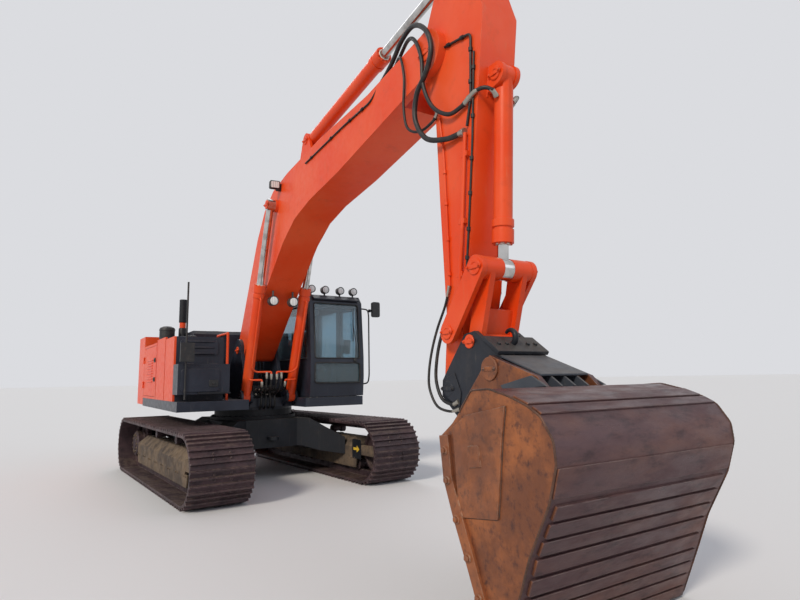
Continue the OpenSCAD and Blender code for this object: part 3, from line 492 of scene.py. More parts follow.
def sweep(line, radius, sides=12):
    """Tube along a line; radius is a number, a list, or a function of the distances from its two ends."""
    lengths = [0.0]
    for a, b in zip(line, line[1:]):
        lengths.append(lengths[-1] + (b - a).length)
    if callable(radius):
        radius = [radius(at, lengths[-1] - at) for at in lengths]
    elif not isinstance(radius, list):
        radius = [radius] * len(line)
    side = (line[1] - line[0]).normalized().orthogonal().normalized()
    points = []
    for i, p in enumerate(line):
        now = (line[min(i + 1, len(line) - 1)] - line[max(i - 1, 0)]).normalized()
        side = (side - now * side.dot(now)).normalized()
        other = now.cross(side)
        for k in range(sides):
            a = 2 * math.pi * k / sides
            points.append(p + (side * math.cos(a) + other * math.sin(a)) * radius[i])
    return points, ring_faces(len(line), sides)


def hoop(matrix, radius, thick, height=0.0):
    """Ring of round section about local Z; its last step runs over its first."""
    return sweep(arc(matrix, radius, [i / 32 for i in range(34)], height), thick, 8)


def rib(start, end, stops, radius, least):
    """Pressed rib between two points that swells from a share of its radius at its ends."""
    line = [start + (end - start) * t for t in stops]
    return sweep(line, lambda a, b: radius * min(1.0, least + min(a, b) / 0.03), 10)


def side_plate(x, side, thick, corners):
    """Plate that lies against a side, from its outline as (forward, up)."""
    matrix = Matrix(((0, 0, side, side * x), (-1, 0, 0, 0), (0, 1, 0, 0), (0, 0, 0, 1)))
    return slab(corners, thick, matrix, 0.003)


def cross_plate(half, low, high, thick, share=1.0):
    """Plate across the machine that lies on the line from low to high, as (forward, up)."""
    a, b = spots(0, (low, high))
    along = (b - a).normalized()
    out = Vector((1, 0, 0)).cross(along)
    if out.y > 0 or (abs(out.y) < 0.2 and out.z < 0):
        out = -out
    matrix = Matrix((Vector((1, 0, 0)), along, out)).transposed().to_4x4()
    matrix.translation = (a + b) / 2
    return slab(rounded(2 * half, (b - a).length * share, 0.008, 2), thick, matrix, 0.004)


def cylinder_axes(base, pin, places):
    """Foot and direction of each cylinder of a pair or of a single one."""
    for x in places:
        foot, head = spots(x, (base, pin))
        yield foot, (head - foot).normalized()


# Fasteners

def bolt_nodes():
    """Geometry nodes that set a hexagon head on a washer at each point, by its own size and direction."""
    tree, given = node_group("bolts", Material="Material")
    whole = add(tree, "GeometryNodeJoinGeometry")
    # Heights and radii are shares of the head's width across its flats
    for kind, sizes, lift in (
            ("GeometryNodeMeshCylinder", {"Vertices": 14, "Radius": 0.78, "Depth": 0.3}, 0.0),
            ("GeometryNodeMeshCylinder", {"Vertices": 6, "Radius": 0.58, "Depth": 0.55}, 0.3),
            ("GeometryNodeMeshCone", {"Vertices": 6, "Radius Top": 0.44, "Radius Bottom": 0.58, "Depth": 0.1},
             0.575)):
        made = add(tree, kind, sizes).outputs["Mesh"]
        lifted = add(tree, "GeometryNodeTransform", {"Geometry": made, "Translation": (0.0, 0.0, lift)})
        tree.links.new(lifted.outputs[0], whole.inputs[0])
    way, size = [add(tree, "GeometryNodeInputNamedAttribute", {"Name": name}, data_type=kind).outputs[0]
                 for name, kind in (("way", "FLOAT_VECTOR"), ("size", "FLOAT"))]
    turn = add(tree, "FunctionNodeAlignRotationToVector", {"Vector": way}, axis="Z").outputs[0]
    placed = add(tree, "GeometryNodeInstanceOnPoints", {
        "Points": given["Geometry"], "Instance": whole.outputs[0], "Rotation": turn, "Scale": size})
    real = add(tree, "GeometryNodeRealizeInstances", {"Geometry": placed.outputs[0]})
    painted = add(tree, "GeometryNodeSetMaterial", {
        "Geometry": real.outputs[0], "Material": given["Material"]})
    add(tree, "NodeGroupOutput", {0: painted.outputs[0]})
    return tree


def bolt_field(name, rows, body, slot, finish=None):
    """All bolts of one body as a plain mesh; rows are (place, direction, head width)."""
    mesh = bpy.data.meshes.new(name)
    mesh.from_pydata([tuple(row[0]) for row in rows], [], [])
    ways = mesh.attributes.new("way", "FLOAT_VECTOR", "POINT")
    ways.data.foreach_set("vector", [c for row in rows for c in row[1]])
    sizes = mesh.attributes.new("size", "FLOAT", "POINT")
    sizes.data.foreach_set("value", [row[2] for row in rows])
    made = bpy.data.objects.new(name, mesh)
    bpy.context.scene.collection.objects.link(made)
    tree = bpy.data.node_groups.get("bolts") or bolt_nodes()
    worker = made.modifiers.new("bolts", "NODES")
    worker.node_group = tree
    material = next(item for item in tree.interface.items_tree if item.name == "Material")
    worker[material.identifier] = made_materials[finish or slot]
    bpy.context.view_layer.update()
    plain = bpy.data.meshes.new_from_object(made.evaluated_get(bpy.context.evaluated_depsgraph_get()))
    made.modifiers.clear()
    made.data = plain
    plain.name = name
    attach(made, body)


def ring_rows(origin, way, radius, count, size, phase=0.0):
    """Bolt rows on a circle about an axis."""
    way = Vector(way).normalized()
    turns = [(i + phase) / count for i in range(count)]
    return [(p, way, size) for p in arc(frame_at(origin, way), radius, turns)]


def turned(point):
    """Turns a point drawn along the tracks as they are parked."""
    return Matrix.Rotation(TRACK_TURN, 3, "Z") @ Vector(point)


def shoe_places():
    """Place and outward direction of each shoe on its loop, as (forward, up) pairs."""
    half = TRACK_L + math.pi * LINK_R
    for i in range(SHOES):
        s = (i + 0.5) * 2 * half / SHOES
        sign = 1 if s < half else -1
        s %= half
        a = math.pi / 2 - max(0.0, s - TRACK_L) / LINK_R
        nf, nu = sign * math.cos(a), sign * math.sin(a)
        run = sign * (min(s, TRACK_L) - TRACK_L / 2)
        yield run + LINK_R * nf, TRACK_Z + LINK_R * nu, nf, nu


# Pins with a keeper plate: across to the cap's foot, side view, radius, body, slot
PIN_CAPS = (
    (0.3258, FOOT, 0.064, "boom", "paint_orange"),
    (0.2704, TIP, 0.082, "arm", "paint_orange"),
    (0.425, BOOM_ROD_PIN, 0.066, "boom_rods", "paint_orange"),
    (COUPLER_HALF, ARM_END, 0.066, "arm", "coupler_steel"),
    (0.2904, ROCKER_PIN, 0.06, "arm", "paint_orange"),
    (0.2904, LINK_TOP, 0.066, "rocker", "paint_orange"),
    (COUPLER_HALF, LINK_PIN, 0.056, "bucket", "paint_orange"),
    (EAR_HALF, GRIP_A, 0.058, "bucket", "bucket_steel"),
    (EAR_HALF, GRIP_B, 0.058, "bucket", "bucket_steel"),
    (0.0934, BUCKET_CYL_BASE, 0.058, "arm", "paint_orange"),
    (0.0934, ARM_CYL_BASE, 0.062, "boom", "paint_orange"),
    (0.4634, BOOM_CYL_FOOT, 0.06, "upper", "paint_black"),
    (0.19, LEVER_PIN, 0.064, "arm", "paint_orange"),
)


class EXCAVATOR_OT_pins(Operator):
    """Turned caps with keeper plates on the ends of the pins"""
    bl_idname = "excavator.pins"
    bl_label = "Pin caps"

    def execute(self, context):
        groups = {}
        for x, place, r, body, slot in PIN_CAPS:
            for side in (-1, 1):
                at, way = spot(side * x, *place), (side, 0, 0)
                groups.setdefault((body, slot), []).extend((
                    lathe([(0.004, -0.002), (r, -0.002), (r, 0.008), (r - 0.004, 0.012), (r * 0.55, 0.012),
                           (r * 0.5, 0.008), (0.014, 0.008), (0.012, 0.016), (0.003, 0.02)], at, way),
                    pad(r * 2.5, 0.034, 0.012, 0.007, at + Vector(way) * 0.0118, way)))
        for (body, slot), parts in groups.items():
            piece(f"pin_caps_{body}_{slot}", parts, body, slot)
        return {"FINISHED"}


class EXCAVATOR_OT_bolts(Operator):
    """Bolts of the shoes, the slewing ring, the drives, the glands, the pin caps and the panels"""
    bl_idname = "excavator.bolts"
    bl_label = "Bolts"

    def execute(self, context):
        width = context.scene.excavator_look.bolt
        shoes, frames = [], []
        span = TRACK_L / 2 - LINK_R - 0.12
        for side in (-1, 1):
            middle = side * GAUGE / 2
            for forward, up, nf, nu in shoe_places():
                shoes += [(turned((middle + x, -(forward + nf * SHOE_TOP + nu * along),
                                   up + nu * SHOE_TOP - nf * along)), turned((0.0, -nf, nu)), width * 0.8)
                          for x in (-0.105, 0.105) for along in (-0.034, 0.034)]
            # Final drive's cover, then the skirts over the roller shafts
            hub = Vector((middle + side * 0.185, TRACK_L / 2, TRACK_Z))
            frames += [(turned(p), turned(w), s)
                       for p, w, s in ring_rows(hub, (side, 0, 0), 0.155, 12, width)]
            frames += [(turned((middle + inner * HALF_SKIRT, i * 2 * span / 7 - span + shift, 0.33)),
                        turned((inner, 0, 0)), width * 0.7)
                       for i in range(8) for shift in (-0.05, 0.05) for inner in (-1, 1)]
        bolt_field("shoe_bolts", shoes, "undercarriage", "track_steel")
        bolt_field("frame_bolts", frames, "undercarriage", "frame_steel")
        bolt_field("slewing_ring_bolts", ring_rows((0, 0, 0.995), UP, 0.672, 48, width * 0.8),
                   "undercarriage", "paint_black")
        for body, base, pin, long, _, gland, rod, places in CYLINDERS:
            bolt_field(f"gland_bolts_{body}", [
                row for foot, way in cylinder_axes(base, pin, places)
                for row in ring_rows(foot + way * long, way, (gland + rod) / 2 + 0.002, 8, width * 0.6, 0.5)],
                body, "paint_orange")
        caps = {}
        for x, place, radius, body, slot in PIN_CAPS:
            for side in (-1, 1):
                matrix = frame_at(spot(side * (x + 0.018), *place), (side, 0, 0))
                caps.setdefault((body, slot), []).extend(
                    (matrix @ Vector((shift * radius * 0.98, 0, 0)), (side, 0, 0), width * 0.6)
                    for shift in (-1, 1))
        for (body, slot), rows in caps.items():
            bolt_field(f"cap_bolts_{body}_{slot}", rows, body, slot)
        cutters = ((6.645, 1.1), (6.665, 0.92), (6.752, 0.7), (6.848, 0.5), (6.935, 0.3))
        bolt_field("cutter_bolts", [
            (p, (side, 0, 0), width * 1.2) for side in (-1, 1) for p in spots(side * 0.872, cutters)],
            "bucket", "bucket_steel", "bucket_side")
        return {"FINISHED"}


# Hoses on the left side, and mirrored: the two bodies that they run between, two places in side view, then the
# name, radius and places passed of each
HOSES = (
    (("boom", "arm"), ((5.25, 4.75), (5.9, 3.8)), (
        ("tip_main", 0.024, ((0.19, 4.575, 4.677), (0.19, 4.72, 4.69), (0.205, 5.0, 4.8), (0.25, 5.28, 4.9),
                             (0.296, 5.56, 4.88), (0.312, 5.78, 4.7), (0.312, 5.85, 4.48), (0.31, 5.76, 4.3),
                             (0.306, 5.6, 4.16), (0.3, 5.56, 3.93), (0.285, 5.7, 3.7), (0.245, 5.93, 3.61),
                             (0.218, 6.09, 3.6), (0.218, 6.165, 3.59))),
        ("tip_bucket", 0.019, ((0.12, 4.575, 4.677), (0.12, 4.74, 4.69), (0.15, 5.06, 4.84), (0.23, 5.36, 4.86),
                               (0.29, 5.57, 4.72), (0.3, 5.68, 4.48), (0.3, 5.7, 4.2), (0.275, 5.8, 3.96),
                               (0.24, 5.98, 3.82), (0.218, 6.15, 3.83), (0.214, 6.24, 3.86))),
        ("tip_return", 0.013, ((0.16, 4.88, 4.69), (0.2, 5.08, 4.76), (0.28, 5.29, 4.7), (0.292, 5.37, 4.44),
                               (0.29, 5.35, 4.15), (0.282, 5.4, 3.92), (0.25, 5.56, 3.83), (0.21, 5.72, 3.88),
                               (0.205, 5.79, 3.95))))),
    (("arm", "bucket_barrel"), ((6.24, 3.86), (6.43, 3.83)), (
        ("bucket_port", 0.017, ((0.214, 6.24, 3.86), (0.212, 6.31, 3.885), (0.18, 6.39, 3.89),
                                (0.13, 6.43, 3.86), (0.088, 6.424, 3.82))),)),
    (("upper", "boom"), ((-0.15, 1.6), (0.25, 2.8)), (
        ("foot_rear", 0.02, ((0.12, 0.425, 3.115), (0.12, 0.23, 2.79), (0.125, -0.03, 2.42), (0.13, -0.19, 2.03),
                             (0.135, -0.15, 1.64), (0.12, 0.03, 1.44), (0.1, 0.252, 1.42))),
        ("foot_rear_outer", 0.02, ((0.19, 0.425, 3.115), (0.195, 0.215, 2.77), (0.205, -0.06, 2.39),
                                   (0.21, -0.23, 1.99), (0.2, -0.19, 1.59), (0.18, 0.02, 1.38),
                                   (0.15, 0.252, 1.36))))),
    (("upper", "boom_barrels"), ((0.62, 1.36), (0.98, 1.62)), (
        ("feed_inner", 0.017, ((0.12, 1.0, 1.692), (0.12, 0.998, 1.57), (0.11, 0.93, 1.425), (0.094, 0.8, 1.355),
                               (0.09, 0.69, 1.345), (0.09, 0.576, 1.345))),
        ("feed_outer", 0.017, ((0.19, 0.98, 1.548), (0.188, 0.975, 1.485), (0.178, 0.895, 1.412),
                               (0.16, 0.78, 1.405), (0.15, 0.68, 1.415), (0.15, 0.576, 1.415))),
        ("feed_middle", 0.016, ((0.045, 1.0, 1.668), (0.045, 0.998, 1.56), (0.04, 0.935, 1.44),
                                (0.034, 0.81, 1.41), (0.03, 0.69, 1.415), (0.03, 0.576, 1.415))))),
    (("arm", "bucket"), ((5.78, 1.9), (5.98, 1.38)), (
        ("coupler_feed", 0.014, ((0.218, 6.03, 2.285), (0.218, 5.985, 2.17), (0.224, 5.85, 2.03),
                                 (0.24, 5.77, 1.87), (0.265, 5.745, 1.69), (0.272, 5.745, 1.53),
                                 (0.266, 5.81, 1.39), (0.254, 5.93, 1.345), (0.246, 6.01, 1.37))),
        ("coupler_drain", 0.011, ((0.208, 5.88, 2.33), (0.212, 5.82, 2.17), (0.235, 5.73, 1.98),
                                  (0.268, 5.69, 1.8), (0.298, 5.68, 1.62), (0.304, 5.69, 1.47),
                                  (0.296, 5.78, 1.33), (0.272, 5.92, 1.29), (0.248, 6.02, 1.31))))),
)
# Pipes, each on one body: slot, radius, reach of its bends, places. Those on the barrels have no clamps.
BACK_RUN = ((0.43, 3.123), (0.84, 3.845), (1.19, 4.258), (1.56, 4.478), (1.665, 4.496))
PIPES = (
    ("arm_link_pipe", "arm", "hose_rubber", 0.011, 0.05, (
        (0.204, 5.9, 4.5), (0.204, 6.27, 4.43), (0.204, 6.24, 3.86), (0.204, 6.18, 3.64))),
    ("arm_slim_pipe", "arm", "hose_rubber", 0.009, 0.06, (
        (0.202, 6.3, 4.25), (0.202, 6.24, 3.5), (0.202, 6.17, 2.9), (0.202, 6.11, 2.45))),
    ("arm_rear_pipe", "arm", "paint_orange", 0.009, 0.06, (
        (0.202, 5.79, 3.95), (0.202, 5.85, 3.5), (0.202, 5.87, 2.9), (0.202, 5.88, 2.33))),
    ("boom_slim_pipe", "boom", "hose_rubber", 0.01, 0.1, (
        (0.282, 2.9, 4.44), (0.282, 4.0, 4.5), (0.282, 4.7, 4.51), (0.24, 4.86, 4.69))),
    ("boom_back_pipe", "boom", "paint_orange", 0.018, 0.12, [(0.12, *p) for p in BACK_RUN]),
    ("boom_back_outer_pipe", "boom", "paint_orange", 0.018, 0.12, [(0.19, *p) for p in BACK_RUN]),
    ("feed_head_pipe", "boom_barrels", "paint_orange", 0.015, 0.05, (
        (0.37, 1.369, 2.806), (0.37, 1.412, 2.79), (0.37, 1.035, 1.76), (0.3, 1.0, 1.7), (0.045, 1.0, 1.7),
        (0.045, 1.0, 1.66))),
    ("feed_foot_pipe", "boom_barrels", "paint_orange", 0.015, 0.04, (
        (0.37, 0.925, 1.59), (0.37, 0.982, 1.575), (0.19, 0.98, 1.575), (0.19, 0.98, 1.535))),
)


def hose(line, radius):
    """Hose along a line, with a nut and a crimped sleeve at each end."""
    def fitting(from_start, from_end):
        d = min(from_start, from_end)
        if d < 0.022:
            return radius * 1.5
        if d < 0.075:
            return radius * (1.34 if int(d / 0.012) % 2 else 1.26)
        return radius
    return sweep(line, fitting)


def clamp(radius, at, way):
    """Clamp round a pipe."""
    outer, half = radius + 0.008, 0.016
    return lathe([(radius * 0.5, -half), (outer, -half), (outer, half), (radius * 0.5, half)], at, way, 12)


class EXCAVATOR_OT_hoses(Operator):
    """Hoses that cross the joints, with their crimped fittings, and the pipes on the arm and boom"""
    bl_idname = "excavator.hoses"
    bl_label = "Hoses and pipes"

    def execute(self, context):
        swell = context.scene.excavator_look.hose_scale
        for bodies, bend, group in HOSES:
            mark = spots(0.0, bend)
            for name, radius, places in group:
                line = flow([spot(*p) for p in places], 0.024)
                # Close rings at both ends, where the fittings step
                for tail in range(2):
                    a, b = line[:2]
                    line = [a] + [a + (b - a) * t for t in (0.02, 0.45, 0.5)] + line[1:]
                    line.reverse()
                points, faces = hose(line, radius * swell)
                ends = [i for i, face in enumerate(faces)
                        if min((points[face[0]] - line[tail]).length for tail in (0, -1)) < 0.08]
                for side, label in ((-1, "right"), (1, "left")):
                    made = piece(f"{name}_{label}", [([(side * p.x, p.y, p.z) for p in points], faces)], None,
                                 "hose_rubber", second="zinc", second_faces=ends)
                    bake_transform(made)
        for name, body, slot, r, reach, places in PIPES:
            parts = []
            for side in (-1, 1):
                line = bent([spot(side * p[0], *p[1:]) for p in places], reach)
                parts.append(sweep(line, r))
                for p, q in zip(line, line[1:]):
                    if body != "boom_barrels" and (q - p).length > 0.3:
                        parts += [clamp(r, p.lerp(q, t), q - p) for t in (0.2, 0.8)]
            piece(name, parts, body, slot)
        # Fittings of the valve block in front of the boom's foot, and of the two ports behind it
        union = [(0.004, 0.0), (0.019, 0.0), (0.019, 0.018), (0.014, 0.02), (0.014, 0.045), (0.004, 0.045)]
        port = [(0.004, 0.0), (0.024, 0.0), (0.024, 0.014), (0.004, 0.014)]
        nuts = [lathe(union, spot(x, 0.5602, up), AHEAD, 6)
                for x in (-0.15, -0.09, -0.03, 0.03, 0.09, 0.15) for up in (1.345, 1.415)]
        nuts += [lathe(port, spot(side * x, 0.2498, up), REARWARD, 6)
                 for x, up in ((0.1, 1.42), (0.15, 1.36)) for side in (-1, 1)]
        piece("valve_fittings", nuts, "upper", "black_plastic", "zinc", smooth=False)
        # Hoses from the valve block over the deck's front edge to the slewing joint
        piece("deck_hoses", [
            hose(flow([spot(x, 0.576, up), spot(x, 0.66, 1.41), spot(x * 1.2, 0.735, 1.3),
                       spot(x * 1.3, 0.72, 1.17), spot(x * 1.2, 0.66, 1.125)], 0.03), 0.015)
            for x, up in ((-0.09, 1.345), (-0.03, 1.415), (0.03, 1.345), (0.09, 1.415))],
            "upper", "hose_rubber")
        return {"FINISHED"}


class EXCAVATOR_OT_lamps(Operator):
    """Lenses and rims of the round lamps on the boom and the cab's roof, and the square lamps of the boom"""
    bl_idname = "excavator.lamps"
    bl_label = "Lamps"

    def execute(self, context):
        for body, name, r, places in (
                ("boom", "boom_lamp", 0.075, [(side * 0.16, 1.3952, 2.78) for side in (-1, 1)]),
                ("upper", "cab_lamp", 0.065, [(CAB_X0 + x, 1.0402, CAB_TOP + 0.1)
                                              for x in (0.09, 0.34, 0.625, 0.875)])):
            at = [spot(*place) for place in places]
            piece(f"{name}_rims", [hoop(frame_at(p, AHEAD), r * 0.93, 0.007, 0.004) for p in at], body,
                  "black_plastic")
            lens = [(0.004, 0.0), (r - 0.01, 0.0), (r - 0.012, 0.006), (r * 0.5, 0.012), (0.004, 0.013)]
            piece(f"{name}_lenses", [lathe(lens, p, AHEAD) for p in at], body, "lamp_body", "lens")
        # Square work lamps beside the boom, on a bracket
        bodies, lenses = [], []
        for side in (-1, 1):
            at = frame_at(spot(side * 0.36, 1.9, 4.43), (side * 0.15, -1.0, -0.12))
            bodies += [slab(rounded(0.15, 0.12, 0.022), 0.075, at, 0.008),
                       pad(0.05, 0.11, 0.012, 0.07, spot(side * 0.268, 1.925, 4.4), (side, 0, 0))]
            lenses.append(slab(rounded(0.122, 0.092, 0.014), 0.006, at @ Matrix.Translation((0, 0, 0.0745)),
                               0.002))
        piece("work_lamp_shells", bodies, "boom", "lamp_body", "black_plastic")
        piece("work_lamp_lenses", lenses, "boom", "lamp_body", "lens")
        return {"FINISHED"}


def screen(x, up, off):
    """Point off the cab's sloping front face."""
    low, high = CAB_FLOOR + 0.64, CAB_TOP - 0.12
    return spot(x, CAB_FRONT - 0.07 * max(0.0, up - low) / (high - low) + off, up)


def window_seal(corners):
    """Rubber seal round a pane."""
    return sweep(bent(corners[1:] + corners[:2], 0.05), 0.011, 8)


class EXCAVATOR_OT_cab(Operator):
    """Window seals, wiper, door handle and lock, sun blind and gauges of the cab"""
    bl_idname = "excavator.cab"
    bl_label = "Cab fittings"

    def execute(self, context):
        x0, x1 = CAB_X0 + 0.075, CAB_X1 - 0.075
        sill, head, door_head = 1.913, 2.805, 2.77
        seals = [window_seal([screen(x, z, 0.001) for x, z in ((x0, low), (x1, low), (x1, high), (x0, high))])
                 for low, high in ((CAB_FLOOR + 0.62, CAB_TOP - 0.15), (CAB_FLOOR + 0.22, CAB_FLOOR + 0.545))]
        seals += [window_seal(spots(x, corners)) for x, corners in (
            (CAB_X0 - 0.001, ((-0.49, sill), (1.08, sill), (1.03, head), (-0.49, head))),
            (CAB_X1 + 0.001, ((-0.51, sill), (0.25, sill), (0.25, head), (-0.51, head))))]
        piece("window_seals", seals, "upper", "hose_rubber")
        door = ((0.42, sill), (1.045, sill), (0.99, door_head), (0.42, door_head))
        piece("door_seal", [window_seal(spots(CAB_X1 + 0.001, door))], "cab_door", "hose_rubber")
        # Door handle: a bowed grip over a cup, with its key lock
        grip = flow([spot(CAB_X1 + off, forward, 1.78) for off, forward in (
            (0, 1.06), (0.035, 1.05), (0.038, 0.96), (0, 0.95))], 0.01)
        lock = lathe([(0.004, 0.0), (0.02, 0.0), (0.02, 0.008), (0.014, 0.012), (0.004, 0.012)],
                     spot(CAB_X1, 0.9, 1.78), (1, 0, 0))
        piece("door_handle", [sweep(grip, 0.01, 10), lock], "cab_door", "black_plastic")
        # Wiper on the windscreen, parked upright by the left post
        arm = bent([screen(1.33, 1.89, 0.022), screen(1.345, 2.2, 0.03), screen(1.3, 2.5, 0.022)], 0.1)
        blade = [screen(1.3 + 0.02 * t, 2.2 + 0.55 * t, 0.016) for t in (0.0, 0.25, 0.5, 0.75, 1.0)]
        motor = lathe([(0.004, -0.01), (0.03, -0.01), (0.03, 0.02), (0.02, 0.03), (0.004, 0.03)],
                      screen(1.33, 1.88, 0.0), AHEAD)
        piece("wiper", [sweep(arm, 0.007, 8), sweep(blade, 0.009, 8), motor], "upper", "black_plastic")
        # Rolled sun blind inside the windscreen's head, and the panel of gauges on the post
        piece("blind_and_gauges", [
            sweep([spot(0.64, 1.0, 2.78), spot(1.385, 1.0, 2.78)], 0.028, 14),
            pad(0.17, 0.24, 0.02, 0.03, spot(1.33, 0.93, 2.12), (-0.5, 1, 0.1))], "upper", "black_plastic")
        return {"FINISHED"}


def cushion(width, length, height, crown):
    """Padded form: a rounded box with crowned faces and a seam pulled in between its channels."""
    work = bmesh.new()
    bmesh.ops.create_grid(work, x_segments=12, y_segments=10, size=0.5)
    top = [v.co.copy() for v in work.verts]
    faces = [tuple(v.index for v in f.verts) for f in work.faces]
    work.free()
    points = []
    for sign in (1, -1):
        for co in top:
            u, v = co.x * 2, co.y * 2
            round_off = (1 - abs(u) ** 6) * (1 - abs(v) ** 6)
            seam = 1 - 0.1 * math.exp(-((abs(u) - 0.55) / 0.05) ** 2)
            z = sign * height / 2 * (round_off ** 0.35) * seam + (crown * round_off * seam if sign > 0 else 0)
            points.append(Vector((u * width / 2 * (1 - 0.03 * v * v),
                                  v * length / 2 * (1 - 0.03 * u * u), z)))
    return points, faces + [tuple(i + len(top) for i in reversed(f)) for f in faces]


class EXCAVATOR_OT_seat(Operator):
    """Driver's seat with its padded cushions on a pedestal"""
    bl_idname = "excavator.seat"
    bl_label = "Seat"

    def execute(self, context):
        floor = CAB_FLOOR + 0.05
        for name, width, length, height, crown, y, up, tilt in (
                ("seat_cushion", 0.49, 0.5, 0.12, 0.02, 0.0, 0.42, 0.06),
                ("seat_back", 0.47, 0.66, 0.11, 0.02, 0.225, 0.8, 1.4),
                ("seat_headrest", 0.26, 0.18, 0.09, 0.01, 0.285, 1.23, 1.45)):
            matrix = Matrix.Translation((CAB_X, y, floor + up)) @ Matrix.Rotation(tilt, 4, "X")
            points, faces = cushion(width, length, height, crown)
            made = piece(name, [([matrix @ p for p in points], faces)], "upper", "seat_cloth")
            work = bmesh.new()
            work.from_mesh(made.data)
            bmesh.ops.remove_doubles(work, verts=work.verts, dist=0.002)
            bmesh.ops.recalc_face_normals(work, faces=work.faces)
            for edge in work.edges:
                edge.smooth = True
            work.to_mesh(made.data)
            work.free()
            if name == "seat_cushion":
                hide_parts("seat")
        folds = [(0.15 - 0.018 * (i % 2), 0.02 * i) for i in range(1, 8)]
        piece("seat_pedestal", [
            pad(0.36, 0.38, 0.05, 0.22, (CAB_X, -0.06, floor + 0.001), UP),
            lathe([(0.01, 0.0), (0.15, 0.0), *folds, (0.01, 0.15)], (CAB_X, -0.06, floor + 0.21), UP)],
            "upper", "black_plastic")
        return {"FINISHED"}


def latch(at, way, width, height, r):
    """Plate of a latch with its round lock."""
    return [pad(width, height, 0.02, 0.012, at, way),
            lathe([(0.004, 0.01), (r, 0.01), (r - 0.002, r + 0.002), (0.004, r + 0.004)], at, way)]


def tread(x0, x1, y0, y1, z):
    """Raised lozenges over a tread plate, about every 50 mm."""
    across, deep = max(1, int((x1 - x0) / 0.05)), max(1, int((y1 - y0) / 0.05))
    for i in range(across):
        for j in range(deep):
            at = Matrix.Translation((x0 + (i + 0.5) * (x1 - x0) / across,
                                     y0 + (j + 0.5) * (y1 - y0) / deep, z))
            turn = Matrix.Rotation(math.radians(45 if (i + j) % 2 else -45), 4, "Z")
            yield slab([(-0.018, 0), (0, -0.005), (0.018, 0), (0, 0.005)], 0.003, at @ turn, 0.001)


class EXCAVATOR_OT_panels(Operator):
    """Louvres, latches, handles, hatches and treads of the housings"""
    bl_idname = "excavator.panels"
    bl_label = "Panels"

    def execute(self, context):
        slots, swell = 9, (0.0, 0.04, 0.12, 0.5, 0.88, 0.96, 1.0)
        pitch = 0.42 / slots
        for body, side in (("pump_door", -1), ("cooler_door", 1)):
            x = side * HALF_W
            piece(f"{body}_louvres", [
                rib(spot(x, -1.68, up), spot(x, -1.06, up), swell, pitch * 0.3, 0.25)
                for up in (1.56 + (i + 0.5) * pitch for i in range(slots))], body, "paint_orange")
            piece(f"{body}_latches", [part for up in (1.62, 1.95) for part in latch(
                spot(x, -0.83, up), (side, 0, 0), 0.14, 0.075, 0.02)], body, "black_plastic")
        piece("hood_vents", [
            rib(spot(x - 0.15, -y, 2.469), spot(x + 0.15, -y, 2.469), (0.0, 0.05, 0.5, 0.95, 1.0), 0.016, 0.3)
            for x in (-0.45, 0.0, 0.45) for y in (0.86 + 0.1 * i for i in range(7))],
            "hood", "paint_navy", "cab_enamel")
        piece("hood_grips", [
            sweep(bent([spot(x + off, -y, 2.32) for off, y in (
                (-0.09, 0.689), (-0.09, 0.655), (0.09, 0.655), (0.09, 0.689))], 0.03), 0.01, 10)
            for x in (-0.5, 0.5)], "hood", "black_plastic")
        piece("filler_caps", [
            lathe([(0.01, 0.0), (0.07, 0.0), (0.075, 0.01), (0.075, 0.035), (0.06, 0.045), (0.01, 0.048)],
                  at, UP, 20) for at in ((-1.15, -0.42, 2.24), (-1.15, 0.25, 2.28))],
            "upper", "black_plastic")
        for name, body, where in (("lid_tread", "tool_box_lid", (-1.4, -0.8, -1.12, -0.93, 1.8202)),
                                  ("tank_tread", "upper", (-1.38, -0.93, -0.76, -0.53, 2.2402)),
                                  ("deck_tread", "upper", (0.52, 1.4, -1.19, -1.17, 1.2852))):
            piece(name, tread(*where), body, "paint_black", "zinc", smooth=False)
        # Pressed panels on the fronts of the tank and the tool box
        pressed = [pad(0.54, 0.33, 0.05, 0.016, spot(-1.17, 1.2002, 1.585), AHEAD),
                   pad(0.56, 0.23, 0.05, 0.016, spot(-1.12, 0.8502, 2.08), AHEAD)]
        pressed += [rib(spot(-1.34, 0.87, up), spot(-0.9, 0.87, up), (0.0, 0.03, 0.5, 0.97, 1.0), 0.013, 0.3)
                    for up in (1.985, 2.075, 2.165)]
        piece("pressed_panels", pressed, "upper", "paint_navy", "cab_enamel")
        piece("tool_box_latch", latch(spot(-0.985, 1.216, 1.54), AHEAD, 0.13, 0.1, 0.022), "upper",
              "black_plastic")
        return {"FINISHED"}


def bead(x, size, *places):
    """Weld bead along a side view's places, rippled as the rod moved on."""
    line = bent(spots(x, places), 0.02, 2)
    dense = []
    for a, b in zip(line, line[1:]):
        count = max(1, round((b - a).length / 0.012))
        dense += [a.lerp(b, i / count) for i in range(count)]
    dense.append(line[-1])
    return sweep(dense, [size * (0.82 if i % 2 else 1.0) for i in range(len(dense))], 6)


